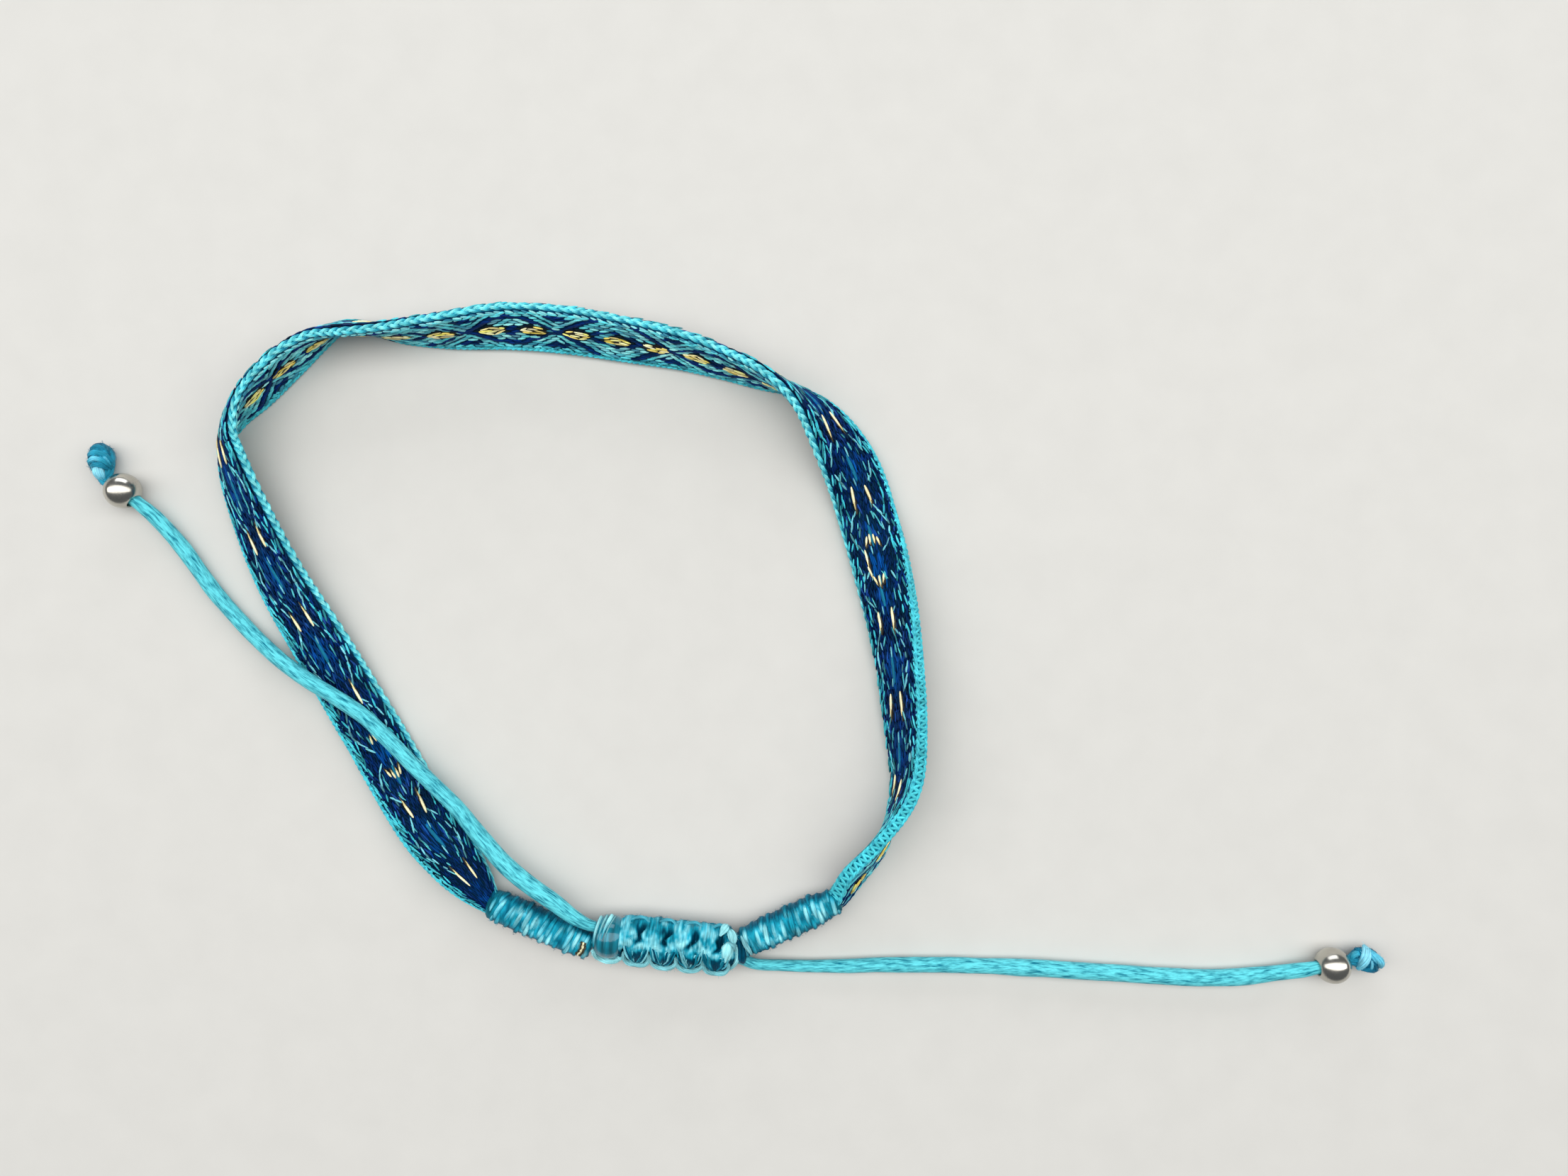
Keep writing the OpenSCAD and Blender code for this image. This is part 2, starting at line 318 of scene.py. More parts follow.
def yarn_tree() -> Tree:
    """Twists plies of thread round a guide line, whose points hold their girth in metres.

    Returns:
        The tree; its inputs are Plies, Ply share, Spread, Twist, Sides, Step and Material.
    """
    tree = GeometryTree("twist_yarn", {"Plies": 2, "Ply share": 0.5, "Spread": 0.5,
                                       "Twist": 0.0026, "Sides": 8, "Step": 0.00015})
    line = tree.wire("GeometryNodeMeshToCurve", {0: tree["Geometry"]})
    even = tree.wire("GeometryNodeResampleCurve", {"Curve": line, "Length": tree["Step"]},
                     mode="LENGTH")
    copies = tree.node("GeometryNodeDuplicateElements",
                       {"Geometry": even, "Amount": tree["Plies"]}, domain="SPLINE")
    run = tree.wire("GeometryNodeSplineParameter", output="Length")
    share = Wire(tree, copies.outputs[1]) / tree["Plies"]
    angle = (run / tree["Twist"] + share) * TAU
    normal = tree.wire("GeometryNodeInputNormal")
    side = tree.vector("CROSS_PRODUCT", tree.wire("GeometryNodeInputTangent"), normal)
    girth = tree.stored("girth", "FLOAT")
    reach = girth * tree["Spread"]
    grained = tree.store(Wire(tree, copies.outputs[0]), "grain",
                         tree.combine(run * 1000.0, share, 0.0))
    spun = tree.moved(grained, Offset=tree.vector(
        "ADD", tree.scaled(normal, angle.cosine() * reach),
        tree.scaled(side, angle.sine() * reach)))
    around = tree.store(tree.ring(tree["Sides"], 1.0), "around",
                        tree.wire("GeometryNodeSplineParameter"), "FLOAT")
    return tree.finish(tree.wire("GeometryNodeCurveToMesh", {
        "Curve": spun, "Profile Curve": around, "Fill Caps": True,
        "Scale": girth * tree["Ply share"]}))


def fuzz_tree() -> Tree:
    """Lets fine loose fibres stand on a surface, each dyed as the surface under it.

    Returns:
        The tree; its inputs are Density, Length, Fineness, Seed and Material.
    """
    tree = GeometryTree("raise_fuzz", {"Density": 1.0e7, "Length": 0.00027,
                                       "Fineness": 0.000009, "Seed": 1})
    cloth, seed = tree["Geometry"], tree["Seed"]
    spread = tree.node("GeometryNodeDistributePointsOnFaces",
                       {"Mesh": cloth, "Density": tree["Density"], "Seed": seed})
    arc = tree.wire("GeometryNodeCurveQuadraticBezier", {
        "Resolution": 4, "Start": (0.0, 0.0, -0.05), "Middle": (0.4, 0.15, 0.22),
        "End": (1.0, -0.05, 0.05)})
    long = tree.wire("GeometryNodeTransform", {
        "Geometry": arc, "Scale": tree.scaled((1.0, 1.0, 1.0), tree["Length"])})
    fibre = tree.wire("GeometryNodeCurveToMesh", {
        "Curve": long, "Profile Curve": tree.ring(3, tree["Fineness"]), "Fill Caps": True})
    turn, size = tree.chance(0.0, TAU, seed), tree.chance(0.5, 1.4, seed + 5)
    aim = tree.wire("FunctionNodeRotateRotation", {
        0: Wire(tree, spread.outputs["Rotation"]), 1: tree.turning(tree.combine(z=turn))},
        rotation_space="LOCAL")
    raised = tree.wire("GeometryNodeInstanceOnPoints", {
        "Points": Wire(tree, spread.outputs["Points"]), "Instance": fibre, "Rotation": aim,
        "Scale": tree.combine(size, size, size)})
    both = tree.node("GeometryNodeJoinGeometry")
    for part in (raised, cloth):
        tree.tree.links.new(part.socket, both.inputs[0])
    return tree.finish(Wire(tree, both.outputs[0]))


def wrap_tree() -> Tree:
    """Wraps flat (s, v, w) geometry round the loop, following its turn, width, thickness and bow.

    Returns:
        The tree; its inputs are Loop, Half width, Floor give and Material. Threads that would
        dip below the floor are pressed flat within the give above it.
    """
    tree = GeometryTree("wrap_round_loop", {"Loop": None, "Half width": 0.0026,
                                            "Floor give": 0.0002})
    loop = tree.wire("GeometryNodeObjectInfo", {"Object": tree["Loop"]}, "Geometry")
    line = tree.wire("GeometryNodeMeshToCurve", {0: loop})
    along, across, out = tree.parts(tree.wire("GeometryNodeInputPosition"))

    def sampled(name: str, output: Any = 0) -> Wire:
        """The loop's attribute of that name at this place along it."""
        return tree.wire("GeometryNodeSampleCurve",
                         {"Curves": line, "Value": tree.stored(name), "Length": along}, output,
                         data_type="FLOAT_VECTOR", mode="LENGTH")

    width, thick, cup = tree.parts(sampled("shape"))
    share = across / tree["Half width"]
    lift = out * thick + cup * (0.5 - share * share)
    placed = tree.vector("ADD", sampled("across", "Position"),
                         tree.scaled(sampled("across"), across * width))
    placed = tree.vector("ADD", placed, tree.scaled(sampled("out"), lift))
    east, north, height = tree.parts(placed)
    soft = tree["Floor give"]
    pressed = ((height.lesser(soft) - soft) / soft).exponent() * soft
    bent = tree.moved(tree["Geometry"],
                      Position=tree.combine(east, north, height.greater(pressed)))
    return tree.finish(tree.wire("GeometryNodeFlipFaces", {0: bent}))


# objects

def placed_object(name: str, data: bpy.types.ID) -> Item:
    """A new object of that data in the scene, at the origin."""
    made = bpy.data.objects.new(name, data)
    bpy.context.scene.collection.objects.link(made)
    return made


def marked(item: Item, **attributes: Any) -> Item:
    """Stores values on the points of a mesh.

    Args:
        item: the mesh object.
        attributes: one number, vector or dye for each point, by name.

    Returns:
        The same object.
    """
    kinds = {1: ("FLOAT", "value"), 3: ("FLOAT_VECTOR", "vector"), 4: ("FLOAT_COLOR", "color")}
    for name, values in attributes.items():
        table = np.asarray(values, np.float32)
        kind, key = kinds[table.size // len(table)]
        item.data.attributes.new(name, kind, "POINT").data.foreach_set(key, table.ravel())
    return item


def mesh_object(name: str, points: Any, edges: Sequence[Any] = (), faces: Sequence[Any] = (),
                **attributes: Any) -> Item:
    """A new mesh object from points in millimetres.

    Args:
        name: name of the object.
        points: its points.
        edges: pairs of point numbers.
        faces: rings of point numbers.
        attributes: values for the points, by name.

    Returns:
        The object.
    """
    shape = bpy.data.meshes.new(name)
    shape.from_pydata((np.asarray(points, float) * MM).tolist(), edges, faces)
    shape.update()
    return marked(placed_object(name, shape), **attributes)


def chained(start: int, count: int) -> List[Tuple[int, int]]:
    """The edges of a line of points from a point number on."""
    return [(i, i + 1) for i in range(start, start + count - 1)]


def walled(rings: int, sides: int, closed: bool = False) -> List[Tuple[int, ...]]:
    """The faces between rings of points, and from the last to the first where it is closed."""
    return [tuple((i * sides + n) % (rings * sides) for n in (k, after, after + sides, k + sides))
            for i in range(rings if closed else rings - 1)
            for k, after in ((k, (k + 1) % sides) for k in range(sides))]


def modified(source: Item, stages: Sequence[Stage], name: str) -> Item:
    """Runs node trees over an object and keeps the result as a plain mesh.

    Args:
        source: the object with the starting geometry; it is removed.
        stages: each tree with its inputs by name.
        name: name of the new object.

    Returns:
        The object that holds the plain mesh.
    """
    for number, (tree, values) in enumerate(stages):
        modifier = source.modifiers.new(f"stage{number}", "NODES")
        modifier.node_group = tree
        for item in tree.interface.items_tree:
            if item.item_type == "SOCKET" and item.in_out == "INPUT" and item.name in values:
                modifier[item.identifier] = values[item.name]
    shape = bpy.data.meshes.new_from_object(
        source.evaluated_get(bpy.context.evaluated_depsgraph_get()))
    source.modifiers.clear()
    bpy.data.objects.remove(source)
    shape.name = name
    return placed_object(name, shape)


def joined(name: str, items: Sequence[Item]) -> Item:
    """Joins mesh objects into one, which takes the name."""
    with bpy.context.temp_override(active_object=items[0], selected_editable_objects=list(items)):
        bpy.ops.object.join()
    items[0].name = items[0].data.name = name
    return items[0]


def spots_of(item: Item) -> np.ndarray:
    """The places of a mesh's points, in metres."""
    spots = np.empty((len(item.data.vertices), 3), np.float32)
    item.data.vertices.foreach_get("co", spots.ravel())
    return spots


def rested(item: Item, near: float = 0.1 * MM) -> Item:
    """Presses the threads within near of the table up, so that all of a piece lies on it."""
    spots = spots_of(item)
    height = spots[:, 2]
    spots[:, 2] = np.where(height < near, near * np.exp((height - near) / near), height)
    item.data.vertices.foreach_set("co", spots.ravel())
    item.data.update()
    return item


def outward(item: Item) -> Item:
    """The same closed mesh with every face pointing out."""
    work = bmesh.new()
    work.from_mesh(item.data)
    bmesh.ops.recalc_face_normals(work, faces=work.faces[:])
    work.to_mesh(item.data)
    work.free()
    return item


def dressed(piece: Item, node: str, slot: str) -> Item:
    """Fixes a finished piece to the body, in the place of its node."""
    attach(piece, BODY)
    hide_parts(node)
    return piece


# finishes

# depth of the relief of fibres, of braid and of scratches, in metres
FIBRE_DEPTH, BRAID_DEPTH, SCRATCH_DEPTH = 0.00004, 0.00006, 0.00002
# the stretch about a half that noise keeps to
NOISE_LOW, NOISE_HIGH = 0.3, 0.7


@dataclass(frozen=True)
class Finish:
    """A finish; every kind of it says what its surface is."""

    name: str

    def sockets(self, graph: Graph) -> Dict[str, Any]:
        """The inputs of the surface."""
        raise NotImplementedError

    def material(self) -> bpy.types.Material:
        """Builds the material."""
        made = bpy.data.materials.new(self.name)
        made.use_nodes = True
        made.node_tree.nodes.clear()
        graph = Graph(made.node_tree)
        surface = graph.wire("ShaderNodeBsdfPrincipled", self.sockets(graph))
        graph.node("ShaderNodeOutputMaterial", {"Surface": surface})
        return made


@dataclass(frozen=True)
class ThreadFinish(Finish):
    """Dyed satin thread: colour from the dye attribute, fine fibres along each float."""

    roughness: float = 0.5
    metallic: float = 0.0
    gloss: float = 0.3
    glint: Dye = (0.1, 0.75, 1.0, 1.0)
    contrast: float = 0.45
    fibre_bump: float = 0.35
    fibre_scale: float = 9.0
    ring_scale: float = 1.6
    coat: float = 0.0

    def sockets(self, graph: Graph) -> Dict[str, Any]:
        """Fibres that run along the grain, in darker and lighter patches."""
        colour, grain, around = (
            graph.wire("ShaderNodeAttribute", None, output, attribute_name=name)
            for name, output in (("dye", "Color"), ("grain", "Vector"), ("around", "Fac")))
        along, across, high = graph.parts(grain)
        ring_x = (around * TAU).sine() * self.ring_scale
        ring_y = (around * TAU).cosine() * self.ring_scale
        lines = graph.noise(graph.combine(along * 0.7, across * self.fibre_scale + ring_x,
                                          high * self.fibre_scale + ring_y), 1.3, 3.0)
        patches = graph.noise(graph.wire("ShaderNodeTexCoord", output="Object"), 900.0)
        tone = graph.ranged(lines * 0.6 + patches * 0.4, NOISE_LOW, NOISE_HIGH,
                            1.0 - self.contrast, 1.0 + self.contrast)
        return {"Base Color": graph.scaled(colour, tone), "Metallic": self.metallic,
                "Roughness": graph.ranged(lines, NOISE_LOW, NOISE_HIGH,
                                          self.roughness + 0.1, self.roughness - 0.1),
                "Normal": graph.bump(self.fibre_bump, FIBRE_DEPTH, lines),
                "Specular IOR Level": self.gloss, "Specular Tint": self.glint,
                "Coat Weight": self.coat, "Coat Roughness": 0.12}


@dataclass(frozen=True)
class SatinFinish(Finish):
    """Satin cord: soft lengthwise streaks and a fine braid, from the cord's own UV map."""

    light: Dye
    dark: Dye
    roughness: float = 0.4
    glint: Dye = (0.2, 0.85, 1.0, 1.0)

    def sockets(self, graph: Graph) -> Dict[str, Any]:
        """Streaks and braid; the UV map holds millimetres along and turns around."""
        along, around, _ = graph.parts(graph.wire("ShaderNodeUVMap", uv_map="lay"))
        ring_x, ring_y = (around * TAU).cosine(), (around * TAU).sine()
        streaks = graph.noise(graph.combine(along * 0.6, ring_x * 2.0, ring_y * 2.0), 1.5, 3.0)
        fibres = graph.noise(graph.combine(along * 1.1, ring_x * 13.0, ring_y * 13.0), 1.0)
        braid = (((along * 0.62 + around * 5.0) * TAU).sine()
                 * ((along * 0.62 - around * 5.0) * TAU).sine()).magnitude()
        tone = graph.ranged(streaks * 0.6 + fibres * 0.4, 0.37, 0.55)
        colour = graph.mix(tone, self.dark, self.light)
        return {"Base Color": graph.mix((1.0 - braid) * 0.12, colour, self.dark),
                "Roughness": graph.ranged(fibres, NOISE_LOW, NOISE_HIGH,
                                          self.roughness + 0.12, self.roughness - 0.08),
                "Normal": graph.bump(0.5, BRAID_DEPTH, fibres * 0.5 + braid * 0.5),
                "Specular IOR Level": 0.3, "Specular Tint": self.glint}


@dataclass(frozen=True)
class SteelFinish(Finish):
    """Polished steel with faint wear and fine scratches."""

    tint: Dye
    roughness: float = 0.15

    def sockets(self, graph: Graph) -> Dict[str, Any]:
        """Clouded polish with lengthwise scratches."""
        place = graph.wire("ShaderNodeTexCoord", output="Object")
        clouds = graph.noise(place, 700.0, 3.0)
        scratches = graph.noise(graph.vector("MULTIPLY", place, (9000.0, 900.0, 4000.0)), 1.0)
        return {"Base Color": graph.mix(graph.ranged(clouds, 0.35, 0.7), self.tint,
                                        shade(self.tint, 0.8)),
                "Metallic": 1.0, "Normal": graph.bump(0.16, SCRATCH_DEPTH, scratches),
                "Roughness": graph.ranged(clouds, NOISE_LOW, NOISE_HIGH, self.roughness,
                                          self.roughness + 0.14)}


@dataclass(frozen=True)
class PaperFinish(Finish):
    """Plain pale paper for the floor."""

    tint: Dye

    def sockets(self, graph: Graph) -> Dict[str, Any]:
        """Faint flecks."""
        fleck = graph.noise(graph.wire("ShaderNodeTexCoord", output="Object"), 260.0, 3.0)
        return {"Base Color": graph.mix(graph.ranged(fleck, NOISE_LOW, NOISE_HIGH), self.tint,
                                        shade(self.tint, 0.97)), "Roughness": 0.9}


@dataclass
class Workshop:
    """The node trees and the finishes that every part of the bracelet is made with."""

    trees: Dict[str, Tree]
    finishes: Dict[str, bpy.types.Material]

    def stage(self, tree: str, finish: str, **inputs: Any) -> Stage:
        """One tree with its inputs; an underscore stands for the space in an input's name."""
        named = {key.replace("_", " "): value for key, value in inputs.items()}
        return self.trees[tree], {**named, "Material": self.finishes[finish]}

    def coated(self, item: Item, finish: str) -> Item:
        """The object with the finish as its material."""
        item.data.materials.append(self.finishes[finish])
        return item


# shared shapes

def marks(place: float, end: float, step: float) -> Iterator[float]:
    """Places one step apart, up to the end."""
    while place < end:
        yield place
        place += step


def measured(line: np.ndarray) -> np.ndarray:
    """The length along a line up to each of its points."""
    return np.concatenate([[0], np.cumsum(np.linalg.norm(np.diff(line, axis=0), axis=1))])


def smoothed(points: Rows, steps: int) -> np.ndarray:
    """A smooth curve through the points.

    Args:
        points: rows of numbers; more than three columns are carried along.
        steps: rows made between two points.

    Returns:
        The dense rows.
    """
    rows = np.asarray(points, float)
    last = len(rows) - 1
    dense: List[np.ndarray] = []
    for i in range(last):
        a, b, c, d = rows[max(i - 1, 0)], rows[i], rows[i + 1], rows[min(i + 2, last)]
        for step in range(steps):
            t = step / steps
            dense.append(0.5 * (2 * b + (c - a) * t + (2 * a - 5 * b + 4 * c - d) * t ** 2
                                + (3 * b - a - 3 * c + d) * t ** 3))
    return np.array(dense + [rows[last]])


@dataclass(frozen=True)
class Placement:
    """Turns a point in a piece's own axes, in millimetres, into the bracelet's."""

    at: Point
    yaw: float = 0.0

    def turned(self, rows: np.ndarray, sense: int) -> np.ndarray:
        """The rows turned by the yaw, or back by it where the sense is -1."""
        cos, sin = math.cos(math.radians(self.yaw)), sense * math.sin(math.radians(self.yaw))
        return np.stack([rows[:, 0] * cos - rows[:, 1] * sin,
                         rows[:, 0] * sin + rows[:, 1] * cos, rows[:, 2]], 1)

    def move(self, points: Any) -> np.ndarray:
        """The points turned by the yaw and moved to the place."""
        return self.turned(np.asarray(points, float), 1) + self.at

    def own(self, points: Any) -> np.ndarray:
        """The bracelet's points brought back into the piece's own axes."""
        return self.turned(np.asarray(points, float) - self.at, -1)


# the mouths of the two whippings and the middle of the knot, as in the solids
LEFT_SEAT = Placement((-6.5, -22.6, 1.45), -23.5)
RIGHT_SEAT = Placement((22.8, -22.4, 1.45), 204.5)
KNOT_SEAT = Placement((8.3, -25.8, 1.8), -6.0)


@dataclass
class Skein:
    """Guide lines of yarn, gathered and then spun in one go."""

    points: List[np.ndarray] = field(default_factory=list)
    girths: List[np.ndarray] = field(default_factory=list)
    dyes: List[np.ndarray] = field(default_factory=list)

    def add(self, points: Any, girth: Any, colour: Any) -> None:
        """Adds one guide line.

        Args:
            points: its points in millimetres.
            girth: radius of the yarn, one number or one for each point.
            colour: one dye or one for each point.
        """
        rows = np.asarray(points, float)
        self.points.append(rows)
        self.girths.append(np.broadcast_to(np.asarray(girth, float), (len(rows),)))
        self.dyes.append(np.broadcast_to(np.asarray(colour, float), (len(rows), 4)))

    def guide(self) -> Item:
        """The guide lines as one mesh of edges."""
        edges: List[Tuple[int, int]] = []
        start = 0
        for rows in self.points:
            edges += chained(start, len(rows))
            start += len(rows)
        return mesh_object("guide", np.concatenate(self.points), edges,
                           girth=np.concatenate(self.girths) * MM, dye=np.concatenate(self.dyes))


def revolved(name: str, profile: Rows, sides: int, place: Placement,
             colour: Callable[[float, float], Dye],
             relief: Optional[Callable[[float, float], float]] = None) -> Item:
    """A body turned about its own X axis; the profile starts and ends on the axis.

    Args:
        name: name of the object.
        profile: (along, radius) rows; the two ends close on the axis.
        sides: faces round it.
        place: where it goes.
        colour: dye from the place along and the angle; the angle is 0 to the far side and a
            quarter turn at the top.
        relief: what the radius grows by, from the same two values.

    Returns:
        The closed mesh object.
    """
    points, dyes, grain = [], [], []
    turns = [TAU * (k / sides - 0.25) for k in range(sides)]
    for number, (along, radius) in enumerate(profile):
        tip = number in (0, len(profile) - 1)
        for angle in (0.0,) if tip else turns:
            r = 0.0 if tip else radius + (relief(along, angle) if relief else 0.0)
            points.append((along, r * math.cos(angle), r * math.sin(angle)))
            dyes.append(colour(along, angle))
            grain.append((radius * angle, along, 0.0))
    faces: List[Tuple[int, ...]] = []
    last = len(points) - 1
    for k in range(sides):
        after = (k + 1) % sides
        faces += [(0, 1 + after, 1 + k), (last, last - sides + k, last - sides + after)]
        for a in range(1, last - sides, sides):
            faces.append((a + k, a + after, a + after + sides, a + k + sides))
    item = mesh_object(name, place.move(points), (), faces, dye=dyes, grain=grain)
    item.data.shade_smooth()
    return item


# the band

class Face(Enum):
    """The two faces of the band, by the sign of w."""

    DARK = 1
    LIGHT = -1


@dataclass
class BandPath:
    """The loop that the band follows, from the same stations as the solid."""

    width: float = 5.2
    thick: float = 1.1
    steps: int = 10
    # x, y, roll, lift, share of width, share of thickness, bow
    stations: Rows = (
        (-2.9, -24.2, 105, .65, .24, 1.2, 0), (-4.7, -23.4, 105, .64, .26, 1.2, 0),
        (-6.5, -22.6, 105, .5, .37, 1.3, 0), (-8.1, -21, 104, .15, .68, 1.25, 0),
        (-10, -18.8, 100, 0, .9, 1.1, .1), (-12.6, -15.5, 95, 0, 1, 1, .1),
        (-16.7, -8.6, 90, 0, 1, 1, .1), (-20.9, -1.3, 80, 0, 1, 1, .1),
        (-24.7, 5.4, 66, 0, 1, 1, .1), (-27.3, 11.5, 52, 0, 1, 1, .2),
        (-28.5, 15.6, 40, 0, 1, 1, .4), (-28.1, 18.2, 20, 0, 1, 1, .8),
        (-26.5, 20.6, -2, 0, 1, 1, .5), (-23.8, 23.3, -6, 0, 1, 1, .2),
        (-21.2, 25.3, 5, 0, 1, 1, .1), (-19.1, 26.2, 19, 0, 1, 1, .1),
        (-16.8, 26.1, 12, 0, 1, 1, .1), (-14.2, 25.9, -1, 0, 1, 1, .1),
        (-10, 26.1, -17, 0, 1, 1, .1), (-5, 26.5, -30, 0, 1, 1, .1),
        (0, 26.2, -33, 0, 1, 1, .1), (5, 25.4, -30, 0, 1, 1, .1),
        (9.6, 24.5, -23, 0, 1, 1, .1), (13.2, 23.4, -15, 0, 1, 1, .1),
        (16.6, 22.1, -4, 0, 1, 1, .2), (19.5, 20.6, 18, 0, 1, 1, .3),
        (21.8, 18.4, 44, 0, 1, 1, .3), (24.1, 14.6, 74, 0, 1, 1, .2),
        (25.7, 10, 94, 0, 1, 1, .1), (27, 4.5, 117, 0, 1, 1, .1),
        (28, -1.5, 137, 0, 1, 1, .1), (28.6, -8, 149, 0, 1, 1, .1),
        (28.5, -12.8, 167, 0, 1, 1, .1), (26.5, -17.4, 196, 0, 1, 1, .1),
        (24.3, -20.2, 206, .15, .8, 1.1, 0), (22.8, -22.4, 206, .3, .36, 1.3, 0),
        (21, -23.22, 205, .56, .25, 1.2, 0), (19.2, -24.04, 205, .6, .24, 1.2, 0))

    def __post_init__(self) -> None:
        """Works out the frames of the loop."""
        rows = smoothed(self.stations, self.steps)
        plan = rows[:, :2]
        head = np.zeros_like(plan)
        head[1:-1] = plan[2:] - plan[:-2]
        head[0], head[-1] = plan[1] - plan[0], plan[-1] - plan[-2]
        head /= np.linalg.norm(head, axis=1)[:, None]
        inward = np.stack([head[:, 1], -head[:, 0], 0 * head[:, 0]], 1)
        roll = np.radians(rows[:, 2])[:, None]
        rise = np.array([0.0, 0.0, 1.0])
        self.across = np.cos(roll) * rise + np.sin(roll) * inward
        self.out = np.sin(roll) * rise - np.cos(roll) * inward
        self.shape = rows[:, 4:7]
        half_w, half_t = self.width * rows[:, 4] / 2, self.thick * rows[:, 5] / 2
        low = np.full(len(rows), np.inf)
        for side_x, side_y in ((1, .4), (-1, .4), (1, -.4), (-1, -.4),
                               (.83, 1), (-.83, 1), (.83, -1), (-.83, -1)):
            y = side_y * half_t + rows[:, 6] * (0.5 - side_x ** 2)
            low = np.minimum(low, side_x * half_w * self.across[:, 2] + y * self.out[:, 2])
        self.line = np.column_stack([plan, np.maximum(rows[:, 3], 0) - low])
        self.chart, self.run = measured(plan), measured(self.line)
        self.length = float(self.chart[-1])

    def reach(self, s: Any) -> Any:
        """Length along the loop in space, from the length in plan that the weave is charted in."""
        return np.interp(s, self.chart, self.run)

    def guide(self) -> Item:
        """The loop as a line of edges that holds its frames."""
        return mesh_object("loop_guide", self.line, chained(0, len(self.line)),
                           across=self.across, out=self.out, shape=self.shape * [1, 1, MM])


@dataclass
class ThreadBed:
    """Points of floats to lay on the flat band."""

    path: BandPath
    rows: List[Tuple[Point, Point, Point, Dye]] = field(default_factory=list)

    def lay(self, s: float, v: float, w: float, size: Point, colour: Dye, turn: float = 0.0,
            tip: float = 0.0, roll: float = 0.0, face: Face = Face.DARK) -> None:
        """Adds one float.

        Args:
            s: place of its middle in the chart.
            v: place across.
            w: height out of the face.
            size: length, width and height in millimetres.
            colour: its dye.
            turn: angle from the band's length, in degrees.
            tip: angle out of the face, in degrees.
            roll: angle round its own length, in degrees.
            face: the face that it lies on.
        """
        aim = (math.radians(roll), math.radians(tip), math.radians(turn))
        self.rows.append(((float(self.path.reach(s)), v, w * face.value), aim, size, colour))

    def guide(self) -> Item:
        """The points as a mesh with their attributes."""
        places, aims, sizes, dyes = (np.array(column, float) for column in zip(*self.rows))
        return mesh_object("guide", places, aim=aims, size=sizes * MM, dye=dyes)


# gold stitches of an eye and of a cluster: place along, place across, length, turn
EYE_STITCHES = ((-1.75, .62, 1, 14), (-1.9, .28, 1, 4), (-1.85, -.08, .95, -4),
                (-1.6, -.42, .9, -14), (-.3, .86, 1.7, -4), (.9, .78, 1.2, -14),
                (1.7, .45, 1, -20), (1.8, .1, 1.1, -4), (1.6, -.25, .9, 10))
CLUSTER_STITCHES = ((-.35, .37, 1, 9), (.45, .34, .8, -10), (-.85, .16, .7, 14), (-.1, .16, .9, -4),
                    (.75, .12, .8, -10), (-.6, -.05, 1.1, 6), (.45, -.07, 1, -6),
                    (-.6, -.27, .8, -10), (.2, -.29, 1.1, 4), (.8, -.24, .5, 12))


